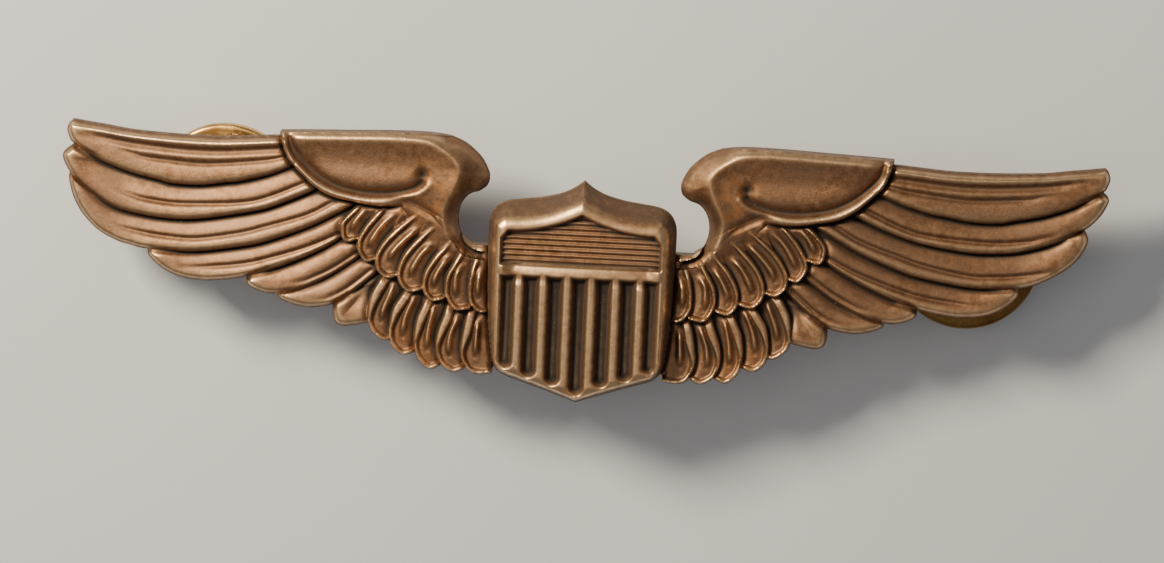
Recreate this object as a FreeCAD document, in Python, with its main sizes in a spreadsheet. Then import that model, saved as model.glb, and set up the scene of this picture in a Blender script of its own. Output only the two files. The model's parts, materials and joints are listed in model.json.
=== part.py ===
import FreeCAD, Part
import os
import re
import Sketcher

# Clutch-back pilot wings. The badge lies face up on its two clutches: +Z is the front of the badge,
# +X runs along the span and +Y to the badge's top edge. Millimetres and degrees throughout.

DRIVING = {
    # struck wing plate
    "bow_radius": 520,
    "back_height": 8.1,
    "primary_top": 1.75,
    "primary_step": 0.08,
    "lower_covert_top": 1.5,
    "upper_covert_top": 1.85,
    "covert_rise": 0.05,
    "shoulder_top": 2.35,
    "web_top": 1.2,
    "height_half": 9.55,
    # shield
    "shield_half": 6.8,
    "shield_thick": 2.2,
    "shield_draft": 15,
    "panel_depth": 0.35,
    "slot_pitch": 1.75,
    "slot_width": 0.85,
    "slot_top": -0.42,
    "ridge_pitch": 0.43,
    "ridge_depth": 0.15,
    # posts
    "left_post_x": -26.55,
    "left_post_y": 3.45,
    "left_turn": 15,
    "right_post_x": 27.85,
    "right_post_y": 1.75,
    "right_turn": 175,
    "post_radius": 0.55,
    "neck_radius": 0.38,
    "neck_low": 2.6,
    "neck_high": 3.6,
    "shoulder_low": 1.75,
    "tip_height": 0.8,
    "tip_radius": 0.12,
    "flange_radius": 1.6,
    "flange_thick": 0.4,
    "solder_radius": 2.3,
    # clutch disc
    "disc_radius": 5.4,
    "disc_under": 4.05,
    "disc_thick": 0.35,
    "rim_drop": 0.6,
    "rim_thick": 0.35,
    "nib_circle": 3.9,
    "nib_radius": 0.3,
    "nib_rise": 0.2,
    "nib_count": 6,
    # clutch eyelet
    "running_gap": 0.05,
    "eyelet_wall": 0.4,
    "eyelet_head": 1.5,
    "eyelet_head_thick": 0.2,
    "eyelet_low": 3.74,
    "end_gap": 0.02,
    # clutch cap
    "cap_radius": 3.9,
    "cap_wall": 0.3,
    "crown_radius": 2.7,
    "crown_rise": 1.1,
    "window_low": 2.55,
    "window_high": 3.6,
    "window_width": 4.2,
    # squeeze fingers
    "sheet_thick": 0.3,
    "jaw_high": 3.05,
    "jaw_low": 2.65,
    "jaw_width": 3.6,
    "jaw_inner": 1.9,
    "jaw_hole_radius": 0.65,
    "jaw_gap": 0.02,
    "jaw_travel": 0.6,
    "tab_out": 4.7,
    "tab_width": 4.2,
    "tab_bottom": 0.45,
    "ear_out": 3.1,
    "ear_width": 1.2,
    "ear_bottom": 1.85,
    # spring
    "spring_circle": 2.85,
    "wire_radius": 0.2,
    "spring_height": 2.1,
    "spring_sweep": 290,
}

doc = FreeCAD.newDocument("pilot_wings")
sheet = doc.addObject("Spreadsheet::Sheet", "Sizes")
for row, (alias, value) in enumerate(DRIVING.items(), start=1):
    sheet.set(f"A{row}", alias)
    sheet.set(f"B{row}", str(value))
    sheet.setAlias(f"B{row}", alias)
doc.recompute()

SIDES = ("left", "right")
SUB_PARTS = []


def vector(x, y, z=0.0):
    return FreeCAD.Vector(x, y, z)


def bound(formula):
    """A formula of aliases, written as an expression on the sheet."""
    words = re.split(r"(\W+)", formula)
    return "".join(f"Sizes.{word}" if word in DRIVING else word for word in words)


def worth(formula):
    """The number a formula of aliases comes to."""
    return float(sheet.evalExpression(bound(formula)))


def bind(item, **formulas):
    """Ties properties of an object to the sheet; a double underscore stands for the dot in a path."""
    for path, formula in formulas.items():
        item.setExpression(path.replace("__", "."), bound(formula))


# ---------------------------------------------------------------- sketch and body helpers


def sub_part(item, label):
    """Names a finished sub-part and puts it on the list that is checked and exported."""
    item.Label = label
    SUB_PARTS.append(item)
    return item


def new_body(name):
    return doc.addObject("PartDesign::Body", name)


def origin_plane(body, role):
    return next(plane for plane in body.Origin.OriginFeatures if plane.Role == role)


def sketch_in(body, name, role, lift=None):
    """An empty sketch on one of the body's origin planes, lifted off it by a formula."""
    sketch = body.newObject("Sketcher::SketchObject", name)
    sketch.AttachmentSupport = [(origin_plane(body, role), "")]
    sketch.MapMode = "FlatFace"
    if lift:
        bind(sketch, AttachmentOffset__Base__z=lift)
    return sketch


def add_polygon(sketch, corners):
    """A closed polygon whose corners are pairs of formulas, each held by its own two dimensions."""
    first = sketch.GeometryCount
    points = [vector(worth(across), worth(up)) for across, up in corners]
    sketch.addGeometry([Part.LineSegment(*ends) for ends in zip(points, points[1:] + points[:1])])
    held = []
    formulas = []
    for index, ((across, up), point) in enumerate(zip(corners, points)):
        following = first + (index + 1) % len(corners)
        held.append(Sketcher.Constraint("Coincident", first + index, 2, following, 1))
        held.append(Sketcher.Constraint("DistanceX", -1, 1, first + index, 1, point.x))
        held.append(Sketcher.Constraint("DistanceY", -1, 1, first + index, 1, point.y))
        formulas += [None, across, up]
    start = sketch.ConstraintCount
    sketch.addConstraint(held)
    for number, formula in enumerate(formulas, start=start):
        if formula:
            sketch.setExpression(f"Constraints[{number}]", bound(formula))


def add_circle(sketch, across, up, radius):
    """A circle whose centre and radius are formulas."""
    place = vector(worth(across), worth(up))
    index = sketch.addGeometry(Part.Circle(place, vector(0, 0, 1), worth(radius)))
    dimensions = (
        (Sketcher.Constraint("DistanceX", -1, 1, index, 3, place.x), across),
        (Sketcher.Constraint("DistanceY", -1, 1, index, 3, place.y), up),
        (Sketcher.Constraint("Radius", index, worth(radius)), radius),
    )
    for constraint, formula in dimensions:
        number = sketch.addConstraint(constraint)
        sketch.setExpression(f"Constraints[{number}]", bound(formula))


def box_corners(low_across, high_across, low_up, high_up):
    return [(low_across, low_up), (high_across, low_up), (high_across, high_up), (low_across, high_up)]


def revolved(body, profile):
    """Turns a closed profile of (radius, height) formulas about the body's own Z axis."""
    sketch = sketch_in(body, "Profile", "XZ_Plane")
    add_polygon(sketch, profile)
    turned = body.newObject("PartDesign::Revolution", "Turned")
    turned.Profile = (sketch, [""])
    turned.ReferenceAxis = (sketch, ["V_Axis"])
    turned.Angle = 360
    doc.recompute()
    return turned


def padded(body, sketch, length, taper=None):
    pad = body.newObject("PartDesign::Pad", "Pad")
    pad.Profile = (sketch, [""])
    bind(pad, Length=length)
    if taper:
        bind(pad, TaperAngle=taper)
    doc.recompute()
    return pad


def pocketed(body, sketch, depth):
    """Cuts a sketch downwards by a depth and makes sure that it took material away."""
    before = body.Shape.Volume
    pocket = body.newObject("PartDesign::Pocket", "Pocket")
    pocket.Profile = (sketch, [""])
    bind(pocket, Length=depth)
    doc.recompute()
    if body.Shape.Volume >= before - 1e-6:
        raise RuntimeError(f"{body.Name}: {sketch.Name} cuts nothing")
    return pocket


def curve_edges(runs):
    """Edges through the runs of an outline: two points make a line, more a smooth curve."""
    edges = []
    for run in runs:
        points = [vector(*point) for point in run]
        if len(points) == 2:
            edges.append(Part.LineSegment(*points))
        else:
            curve = Part.BSplineCurve()
            curve.interpolate(points)
            edges.append(curve)
    return edges


# ---------------------------------------------------------------- struck wing plate
# Outlines of one wing, as (outboard, up) from the middle of the badge. Each outline is a chain of runs:
# the first is the edge that shows, the last lies under the element above it.

PRIMARIES = [
    [
        [(19.0, 7.5), (21.5, 6.45), (25, 5.3), (28, 4.85), (30, 4.85), (33, 5.45), (36, 6.6), (37.6, 7.65)],
        [(37.6, 7.65), (37.85, 8.4), (37.6, 9.1)],
        [(37.6, 9.1), (35, 8.8), (33, 8.55), (30, 8.42), (26, 8.45), (22.3, 8.75), (19.5, 8.9)],
        [(19.5, 8.9), (19.0, 7.5)],
    ],
    [
        [(17, 6.0), (19.5, 4.95), (21, 4.25), (25, 2.95), (28, 2.45), (30, 2.45), (32, 2.65), (34, 3.15)]
        + [(36, 4.05), (37.3, 5.0), (38.0, 6.0), (38.15, 6.45), (38.1, 6.75), (37.2, 7.0)],
        [(37.2, 7.0), (34, 6.5), (30, 6.0), (25, 6.4), (18, 7.5)],
        [(18, 7.5), (17, 6.0)],
    ],
    [
        [(16, 4.3), (20, 2.15), (25, 0.45), (28, -0.05), (30, -0.1), (33, 0.2), (35, 1.05), (36.4, 2.2)]
        + [(37.0, 3.3), (37.25, 4.5), (36.6, 5.2)],
        [(36.6, 5.2), (34, 3.9), (30, 3.3), (25, 3.8), (17, 6.4)],
        [(17, 6.4), (16, 4.3)],
    ],
    [
        [(15.5, 2.6), (19, 0.55), (23, -1.25), (26, -2.05), (28, -2.15), (30, -1.75), (31, -1.15)]
        + [(31.75, -0.4), (31.6, 0.6)],
        [(31.6, 0.6), (25, 1.4), (16.5, 4.6)],
        [(16.5, 4.6), (15.5, 2.6)],
    ],
    [
        [(15, 1.0), (18, -1.15), (20, -2.3), (22.5, -2.85), (24, -2.5), (24.4, -2.05), (24.2, -1.3)],
        [(24.2, -1.3), (20, 0.6), (16, 2.6)],
        [(16, 2.6), (15, 1.0)],
    ],
    [
        [(14, -0.3), (16, -1.95), (18, -3.4), (19.8, -3.75), (21, -3.55), (22.1, -3.1), (22, -2.5)],
        [(22, -2.5), (19, -1.0), (15.5, 0.8)],
        [(15.5, 0.8), (14, -0.3)],
    ],
    [
        [(14.5, -4.5), (15.8, -4.75), (17.1, -4.97), (17.8, -4.7), (18.05, -3.8), (18.0, -3.2)],
        [(18.0, -3.2), (14.5, -2.0)],
        [(14.5, -2.0), (14.5, -4.5)],
    ],
]

UPPER_COVERTS = [
    [(16.6, 3.9), (17.57, 2.75), (17.62, 2.15), (17.43, 1.5), (17.0, 1.31), (15.8, 1.5)],
    [(14.9, 3.8), (15.7, 2.75), (16.24, 1.75), (16.38, 1.05), (16.1, 0.35), (15.6, -0.07), (14.4, 0.1)],
    [(12.8, 3.5), (13.67, 2.45), (14.43, 1.55), (15.0, -0.05), (14.8, -0.69), (14.1, -1.17), (12.8, -1.0)],
    [(11.5, 2.7), (12.33, 1.5), (13.0, 0.55), (13.33, -0.5), (13.2, -1.45), (12.3, -2.12), (11.0, -1.9)],
    [(10.05, 1.8), (10.7, 0.65), (11.3, -0.41), (11.48, -1.25), (11.3, -2.25), (10.6, -2.7), (9.3, -2.4)],
    [(9.1, 1.2), (9.6, -0.2), (9.86, -1.65), (9.7, -2.41), (8.8, -3.27), (7.6, -3.0)],
    [(7.7, 0.9), (8.1, -0.88), (8.14, -1.85), (7.95, -2.69), (7.3, -3.3), (6.3, -3.2)],
]
UPPER_ROOTS = [(14.4, 4.0), (12.8, 3.9), (11.0, 3.4), (9.8, 2.5), (8.6, 1.6), (7.2, 1.0), (6.3, 0.9)]

LOWER_COVERTS = [
    [(14.7, -0.9), (15.2, -2.41), (15.4, -3.45), (15.4, -4.6), (14.9, -5.4), (14.05, -5.85), (12.8, -5.5)],
    [(12.9, -1.6), (13.57, -3.35), (13.8, -4.5), (13.75, -5.7), (13.4, -6.4), (12.8, -6.8), (11.4, -6.5)],
    [(11.4, -2.3), (11.86, -4.15), (12.0, -5.35), (11.9, -6.5), (11.5, -7.3), (10.8, -7.75), (9.6, -7.4)],
    [(9.8, -3.0), (10.24, -4.75), (10.4, -5.85), (10.24, -6.79), (9.86, -7.45), (9.0, -7.88), (7.8, -7.5)],
    [(8.3, -3.0), (8.5, -5.25), (8.57, -6.22), (8.33, -7.15), (7.86, -7.75), (7.1, -7.93), (6.1, -7.6)],
]
LOWER_ROOTS = [(12.6, -0.6), (11.2, -1.2), (9.6, -2.0), (8.0, -2.4), (6.2, -2.6)]

SHOULDER = [
    [(22.24, 9.13), (20, 9.25), (17.1, 9.37), (14.8, 9.49), (12.4, 9.55), (10.06, 9.49), (8.9, 9.15)]
    + [(7.8, 8.35), (7.2, 7.45), (6.9, 6.6), (7.06, 5.9), (7.6, 5.45), (8.3, 5.2)],
    [(8.3, 5.2), (8.8, 4.65), (9.06, 3.9), (9.06, 3.05), (8.76, 2.15), (8.2, 1.48), (7.35, 1.19), (6.3, 1.1)],
    [(6.3, 1.1), (6.3, 0.0)],
    [(6.3, 0.0), (8.0, 0.2), (10.0, 1.2), (12.0, 3.0), (13.0, 4.1)],
    [(13.0, 4.1), (14.8, 4.05), (17.1, 4.35), (19.5, 5.19), (20.6, 6.15), (21.5, 7.05), (21.9, 8.01)]
    + [(22.24, 9.13)],
]

WEB = [
    [(0, 5.9), (1.7, 5.1), (3.2, 4.85), (5.2, 4.5), (5.9, 3.9)],
    [(5.9, 3.9), (6.3, 1.1)],
    [(6.3, 1.1), (9.0, 1.5), (12.5, 4.8), (20.5, 7.8)],
    [(20.5, 7.8), (18.5, 3.6), (17.6, -0.2), (17.2, -2.4), (15.2, -4.6), (13.2, -5.4), (9.0, -7.1)]
    + [(6.0, -7.4)],
    [(6.0, -7.4), (0, -9.2)],
    [(0, -9.2), (0, 5.9)],
]


def lobe(edge, root):
    """A covert feather: the edge that shows, closed over its hidden root."""
    return [edge, [edge[-1], root], [root, edge[0]]]


def struck_prism(name, runs, top):
    """An outline raised from the table, cut off by a cylinder that carries the bow of the front."""
    sketch = doc.addObject("Sketcher::SketchObject", f"{name}_outline")
    sketch.addGeometry(curve_edges(runs))
    prism = doc.addObject("Part::Extrusion", f"{name}_prism")
    prism.Base = sketch
    prism.DirMode = "Normal"
    prism.Solid = True
    bind(prism, LengthFwd="back_height + 2 * shoulder_top")
    front = bow_cylinder(f"{name}_front", top)
    struck = doc.addObject("Part::Common", name)
    struck.Base = prism
    struck.Tool = front
    return struck


def bow_cylinder(name, top):
    """A cylinder along Y whose crown lies over the badge's middle, above the back by a formula."""
    cylinder = doc.addObject("Part::Cylinder", name)
    bind(
        cylinder,
        Radius=f"bow_radius + {top}",
        Height="4 * height_half",
        Placement__Base__y="2 * height_half",
        Placement__Base__z="back_height - bow_radius",
    )
    cylinder.Placement.Rotation = FreeCAD.Rotation(vector(1, 0, 0), 90)
    return cylinder


def make_wing_plate(seat):
    """Half a badge of overlapping feathers, mirrored and hollowed to the bow, with the shield's seat."""
    half = []
    for index, runs in enumerate(PRIMARIES):
        half.append(struck_prism(f"primary_{index + 1}", runs, f"primary_top - {index} * primary_step"))
    for index, (edge, root) in enumerate(zip(UPPER_COVERTS, UPPER_ROOTS)):
        top = f"upper_covert_top + {index // 2} * covert_rise"
        half.append(struck_prism(f"upper_covert_{index + 1}", lobe(edge, root), top))
    for index, (edge, root) in enumerate(zip(LOWER_COVERTS, LOWER_ROOTS)):
        top = f"lower_covert_top + {index // 2} * covert_rise"
        half.append(struck_prism(f"lower_covert_{index + 1}", lobe(edge, root), top))
    half.append(struck_prism("shoulder", SHOULDER, "shoulder_top"))
    half.append(struck_prism("web", WEB, "web_top"))
    right_wing = doc.addObject("Part::MultiFuse", "right_wing")
    right_wing.Shapes = half
    left_wing = doc.addObject("Part::Mirroring", "left_wing")
    left_wing.Source = right_wing
    left_wing.Normal = vector(1, 0, 0)
    both = doc.addObject("Part::MultiFuse", "both_wings")
    both.Shapes = [right_wing, left_wing]
    bowed = doc.addObject("Part::Cut", "bowed_wings")
    bowed.Base = both
    bowed.Tool = bow_cylinder("bow_back", "0")
    plate = doc.addObject("Part::Cut", "wing_plate")
    plate.Base = bowed
    plate.Tool = seat
    return sub_part(plate, "wing_plate")


# ---------------------------------------------------------------- shield

SHIELD_HALF_OUTLINE = [
    ("0", "0.70 * height_half"),
    ("0.22 * shield_half", "0.60 * height_half"),
    ("0.50 * shield_half", "0.55 * height_half"),
    ("0.80 * shield_half", "0.53 * height_half"),
    ("0.95 * shield_half", "0.47 * height_half"),
    ("shield_half", "0.34 * height_half"),
    ("0.97 * shield_half", "-0.35 * height_half"),
    ("0.91 * shield_half", "-0.70 * height_half"),
    ("0.84 * shield_half", "-0.80 * height_half"),
    ("0.45 * shield_half", "-0.90 * height_half"),
    ("0", "-height_half"),
]
PANEL_HALF_OUTLINE = [
    ("0", "0.45 * height_half"),
    ("0.22 * shield_half", "0.38 * height_half"),
    ("0.50 * shield_half", "0.335 * height_half"),
    ("0.77 * shield_half", "0.315 * height_half"),
    ("0.84 * shield_half", "0.255 * height_half"),
    ("0.84 * shield_half", "0.04 * height_half"),
]
SLOT_BOTTOMS = ["-8.65", "-7.95", "-7.5", "-6.75"]
RIDGE_COUNT = 9
RIDGE_LOW = 0.6


def both_halves(half):
    """A symmetric outline from its right half, top to bottom."""
    mirrored = [(f"-({across})", up) for across, up in reversed(half) if across != "0"]
    return half + mirrored


def panel_half_width(height):
    """Half the width of the sunk chief panel at a height, a little inside its outline."""
    corners = [(worth(across), worth(up)) for across, up in PANEL_HALF_OUTLINE]
    for (inner, high), (outer, low) in zip(corners, corners[1:]):
        if low <= height <= high and high > low:
            return inner + (outer - inner) * (high - height) / (high - low)
    return corners[-1][0]


def make_shield():
    """Drafted shield with a sunk, ridged chief over a pale of seven sunk stripes."""
    body = new_body("shield")
    outline = sketch_in(body, "Outline", "XY_Plane")
    add_polygon(outline, both_halves(SHIELD_HALF_OUTLINE))
    padded(body, outline, "shield_thick", "-shield_draft")
    panel = sketch_in(body, "Chief", "XY_Plane", "shield_thick")
    add_polygon(panel, both_halves(PANEL_HALF_OUTLINE))
    pocketed(body, panel, "panel_depth")
    stripes = sketch_in(body, "Stripes", "XY_Plane", "shield_thick")
    for place in range(-3, 4):
        low = f"{SLOT_BOTTOMS[abs(place)]}"
        middle = f"{place} * slot_pitch * {1 if abs(place) < 3 else 0.99}"
        corners = [
            (f"{middle} - slot_width / 2", f"{low} + slot_width / 3"),
            (f"{middle} - slot_width / 5", low),
            (f"{middle} + slot_width / 5", low),
            (f"{middle} + slot_width / 2", f"{low} + slot_width / 3"),
            (f"{middle} + slot_width / 2", "slot_top"),
            (f"{middle} - slot_width / 2", "slot_top"),
        ]
        add_polygon(stripes, corners)
    pocketed(body, stripes, "panel_depth")
    grooves = sketch_in(body, "ChiefGrooves", "XY_Plane", "shield_thick - panel_depth")
    for count in range(RIDGE_COUNT):
        low = f"{RIDGE_LOW} + {count} * ridge_pitch"
        half = round(panel_half_width(worth(f"{low} + ridge_pitch / 2")) - 0.15, 2)
        add_polygon(grooves, box_corners(f"-{half}", f"{half}", low, f"{low} + ridge_pitch / 2"))
    pocketed(body, grooves, "ridge_depth")
    bind(body, Placement__Base__z="back_height + web_top")
    return sub_part(body, "shield")


def make_shield_seat():
    """The space above the web that the shield fills, as a drafted block that runs past every feather."""
    body = new_body("shield_seat")
    outline = sketch_in(body, "Outline", "XY_Plane")
    add_polygon(outline, both_halves(SHIELD_HALF_OUTLINE))
    padded(body, outline, "shield_thick + shoulder_top")
    bind(body, Placement__Base__z="back_height + web_top")
    return body


# ---------------------------------------------------------------- posts and solder


def back_over(side):
    """How high the plate's back is over the outboard rim of a post's flange."""
    reach = f"(abs({side}_post_x) + flange_radius)"
    return f"back_height - bow_radius + sqrt(bow_radius ^ 2 - {reach} ^ 2)"


def stand_at_post(item, side):
    bind(item, Placement__Base__x=f"{side}_post_x", Placement__Base__y=f"{side}_post_y")


def make_post(side):
    """A flanged post that hangs from the back, with a grip neck and a pointed end inside the clutch."""
    body = new_body(f"{side}_post")
    flange_top = back_over(side)
    profile = [
        ("0", "tip_height"),
        ("tip_radius", "tip_height"),
        ("post_radius", "shoulder_low"),
        ("post_radius", "neck_low"),
        ("neck_radius", "neck_low + 0.1"),
        ("neck_radius", "neck_high - 0.1"),
        ("post_radius", "neck_high"),
        ("post_radius", f"{flange_top} - flange_thick"),
        ("flange_radius", f"{flange_top} - flange_thick"),
        ("flange_radius", flange_top),
        ("0", flange_top),
    ]
    revolved(body, profile)
    stand_at_post(body, side)
    return sub_part(body, f"{side}_post")


def make_solder(side, post, plate):
    """The fillet of solder between a post's flange and the bowed back."""
    cone = doc.addObject("Part::Cone", f"{side}_solder_cone")
    bind(
        cone,
        Radius1="flange_radius + 0.1",
        Radius2="solder_radius",
        Height="flange_thick + 0.2",
        Placement__Base__z=f"{back_over(side)} - flange_thick + 0.1",
    )
    stand_at_post(cone, side)
    under_plate = doc.addObject("Part::Cut", f"{side}_solder_under_plate")
    under_plate.Base = cone
    under_plate.Tool = plate
    solder = doc.addObject("Part::Cut", f"{side}_post_solder")
    solder.Base = under_plate
    solder.Tool = post
    return sub_part(solder, f"{side}_post_solder")


# ---------------------------------------------------------------- clutches


def turn_at_post(item, side, half_turn=False):
    """Stands a clutch piece on its post's axis, turned to the way that this clutch is squeezed."""
    stand_at_post(item, side)
    angle = worth(f"{side}_turn") + (180 if half_turn else 0)
    item.Placement.Rotation = FreeCAD.Rotation(vector(0, 0, 1), angle)
    bind(item, Placement__Rotation__Angle=f"{side}_turn + {180 if half_turn else 0}")


def make_clutch_base(side):
    """Thin disc that faces the badge, its rim folded over the cap, with small nibs that grip the cloth."""
    body = new_body(f"{side}_clutch_base")
    hole = "post_radius + eyelet_wall + 2 * running_gap"
    profile = [
        (hole, "disc_under"),
        ("disc_radius - rim_thick", "disc_under"),
        ("disc_radius - rim_thick", "disc_under - rim_drop"),
        ("disc_radius", "disc_under - rim_drop"),
        ("disc_radius", "disc_under + disc_thick / 2"),
        ("disc_radius - disc_thick / 2", "disc_under + disc_thick"),
        (hole, "disc_under + disc_thick"),
    ]
    revolved(body, profile)
    nib = sketch_in(body, "Nib", "XY_Plane", "disc_under + disc_thick / 2")
    add_circle(nib, "nib_circle", "0", "nib_radius")
    pad = padded(body, nib, "disc_thick / 2 + nib_rise")
    ring = body.newObject("PartDesign::PolarPattern", "NibRing")
    ring.Originals = [pad]
    ring.Axis = (nib, ["N_Axis"])
    ring.Angle = 360
    bind(ring, Occurrences="nib_count")
    body.Tip = ring
    doc.recompute()
    turn_at_post(body, side)
    return sub_part(body, f"{side}_clutch_base")


def make_clutch_eyelet(side):
    """The riveted eyelet: a tube with a head above the disc and a rolled edge below it."""
    body = new_body(f"{side}_clutch_eyelet")
    bore = "post_radius + running_gap"
    tube = "post_radius + running_gap + eyelet_wall"
    head_low = "disc_under + disc_thick + end_gap"
    profile = [
        (bore, "eyelet_low"),
        ("eyelet_head", "eyelet_low"),
        ("eyelet_head", "disc_under - end_gap"),
        (tube, "disc_under - end_gap"),
        (tube, head_low),
        ("eyelet_head", head_low),
        ("eyelet_head", f"{head_low} + eyelet_head_thick / 2"),
        ("eyelet_head - eyelet_head_thick", f"{head_low} + eyelet_head_thick"),
        (bore, f"{head_low} + eyelet_head_thick"),
    ]
    revolved(body, profile)
    turn_at_post(body, side)
    return sub_part(body, f"{side}_clutch_eyelet")


def make_clutch_cap(side):
    """Domed housing under the disc, with a window on each side for a finger."""
    body = new_body(f"{side}_clutch_cap")
    top = "disc_under - end_gap"
    flange = "disc_radius - rim_thick - running_gap"
    profile = [
        ("0", "0"),
        ("crown_radius", "0"),
        ("cap_radius - cap_wall", "0.45 * crown_rise"),
        ("cap_radius", "crown_rise"),
        ("cap_radius", f"{top} - cap_wall"),
        (flange, f"{top} - cap_wall"),
        (flange, top),
        ("cap_radius - cap_wall", top),
        ("cap_radius - cap_wall", "crown_rise"),
        ("cap_radius - 2 * cap_wall", "0.45 * crown_rise + cap_wall"),
        ("crown_radius", "cap_wall"),
        ("0", "cap_wall"),
    ]
    revolved(body, profile)
    window = sketch_in(body, "Window", "YZ_Plane")
    add_polygon(window, box_corners("-window_width / 2", "window_width / 2", "window_low", "window_high"))
    before = body.Shape.Volume
    cut = body.newObject("PartDesign::Pocket", "Windows")
    cut.Profile = (window, [""])
    cut.Type = "ThroughAll"
    cut.SideType = "Symmetric"
    doc.recompute()
    if body.Shape.Volume >= before - 1:
        raise RuntimeError(f"{body.Name}: the windows cut nothing")
    turn_at_post(body, side)
    return sub_part(body, f"{side}_clutch_cap")


def make_clutch_finger(side, place, jaw_level, half_turn):
    """One squeeze finger: a jaw plate with a slot for the post, an ear for the spring and a thumb tab."""
    body = new_body(f"{side}_clutch_finger_{place}")
    plate = sketch_in(body, "JawPlate", "XY_Plane", jaw_level)
    add_polygon(plate, box_corners("-jaw_inner", "tab_out + sheet_thick", "-jaw_width / 2", "jaw_width / 2"))
    padded(body, plate, "sheet_thick")
    slot = sketch_in(body, "JawSlot", "XY_Plane", f"{jaw_level} + sheet_thick")
    bite = "-(post_radius + jaw_gap)"
    clear = "post_radius + jaw_gap + jaw_travel"
    slot_corners = [
        (bite, "-0.35 * jaw_hole_radius"),
        (f"{bite} + 0.5 * jaw_hole_radius", "-jaw_hole_radius"),
        (f"{clear} - 0.5 * jaw_hole_radius", "-jaw_hole_radius"),
        (clear, "-0.35 * jaw_hole_radius"),
        (clear, "0.35 * jaw_hole_radius"),
        (f"{clear} - 0.5 * jaw_hole_radius", "jaw_hole_radius"),
        (f"{bite} + 0.5 * jaw_hole_radius", "jaw_hole_radius"),
        (bite, "0.35 * jaw_hole_radius"),
    ]
    add_polygon(slot, slot_corners)
    pocketed(body, slot, "sheet_thick")
    tab = sketch_in(body, "ThumbTab", "YZ_Plane", "tab_out")
    tab_corners = [
        ("-tab_width / 2", f"{jaw_level} + sheet_thick"),
        ("-tab_width / 2", "tab_bottom + 0.8"),
        ("-0.3 * tab_width", "tab_bottom"),
        ("0.3 * tab_width", "tab_bottom"),
        ("tab_width / 2", "tab_bottom + 0.8"),
        ("tab_width / 2", f"{jaw_level} + sheet_thick"),
    ]
    add_polygon(tab, tab_corners)
    padded(body, tab, "sheet_thick")
    ear = sketch_in(body, "SpringEar", "XY_Plane", "ear_bottom")
    add_polygon(ear, box_corners("ear_out", "ear_out + sheet_thick", "-ear_width / 2", "ear_width / 2"))
    padded(body, ear, f"{jaw_level} + sheet_thick - ear_bottom")
    turn_at_post(body, side, half_turn)
    return sub_part(body, f"{side}_clutch_finger_{place}")


def make_clutch_spring(side):
    """Open ring of wire inside the cap, which pushes the two ears apart."""
    spring = doc.addObject("Part::Torus", f"{side}_clutch_spring")
    bind(
        spring,
        Radius1="spring_circle",
        Radius2="wire_radius",
        Angle3="spring_sweep",
        Placement__Base__z="spring_height",
    )
    turn_at_post(spring, side)
    start = "90 + (360 - spring_sweep) / 2"
    spring.Placement.Rotation = FreeCAD.Rotation(vector(0, 0, 1), worth(f"{side}_turn + {start}"))
    bind(spring, Placement__Rotation__Angle=f"{side}_turn + {start}")
    return sub_part(spring, f"{side}_clutch_spring")


def make_clutch(side):
    make_clutch_base(side)
    make_clutch_eyelet(side)
    make_clutch_cap(side)
    make_clutch_finger(side, "front", "jaw_high", False)
    make_clutch_finger(side, "rear", "jaw_low", True)
    make_clutch_spring(side)


# ---------------------------------------------------------------- assembly and export


def check_document():
    doc.recompute()
    for item in doc.Objects:
        if "Invalid" in item.State or "Error" in item.State:
            raise RuntimeError(f"{item.Label} did not recompute: {item.State}")
    for item in SUB_PARTS:
        if item.Shape.isNull() or not item.Shape.isValid():
            raise RuntimeError(f"{item.Label} has no valid shape")


def export_parts():
    os.makedirs("parts", exist_ok=True)
    for item in SUB_PARTS:
        item.Shape.exportStep(f"parts/{item.Label}.step")
        box = item.Shape.BoundBox
        print(
            f"{item.Label:28s} {item.Shape.Volume:9.3f} mm3  solids {len(item.Shape.Solids)}  "
            f"x {box.XMin:7.2f} {box.XMax:7.2f}  y {box.YMin:7.2f} {box.YMax:7.2f}  "
            f"z {box.ZMin:6.2f} {box.ZMax:6.2f}"
        )


wing_plate = make_wing_plate(make_shield_seat())
make_shield()
for badge_side in SIDES:
    badge_post = make_post(badge_side)
    make_solder(badge_side, badge_post, wing_plate)
    make_clutch(badge_side)
check_document()
export_parts()
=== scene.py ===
import json
import math

import bmesh
import bpy
import numpy as np
from mathutils import Matrix, Vector


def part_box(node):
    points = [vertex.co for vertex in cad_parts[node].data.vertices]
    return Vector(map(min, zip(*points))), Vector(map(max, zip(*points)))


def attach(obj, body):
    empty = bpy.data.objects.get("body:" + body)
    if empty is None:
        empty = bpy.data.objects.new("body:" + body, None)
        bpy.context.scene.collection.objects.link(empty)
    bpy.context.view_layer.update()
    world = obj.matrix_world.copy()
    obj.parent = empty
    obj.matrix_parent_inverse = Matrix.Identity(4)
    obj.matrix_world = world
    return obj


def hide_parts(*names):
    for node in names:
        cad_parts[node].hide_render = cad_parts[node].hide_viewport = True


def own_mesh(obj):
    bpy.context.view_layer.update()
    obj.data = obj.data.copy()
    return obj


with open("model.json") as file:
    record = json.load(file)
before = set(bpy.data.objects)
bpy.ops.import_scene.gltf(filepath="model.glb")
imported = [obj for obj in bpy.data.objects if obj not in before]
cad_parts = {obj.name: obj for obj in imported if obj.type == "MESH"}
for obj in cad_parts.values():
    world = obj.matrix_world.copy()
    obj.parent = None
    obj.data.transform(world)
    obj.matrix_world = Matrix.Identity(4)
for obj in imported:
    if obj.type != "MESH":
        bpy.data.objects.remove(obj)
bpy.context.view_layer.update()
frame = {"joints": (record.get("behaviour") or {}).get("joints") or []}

MM = 0.001

# ---------------------------------------------------------------- camera, floor and light

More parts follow.
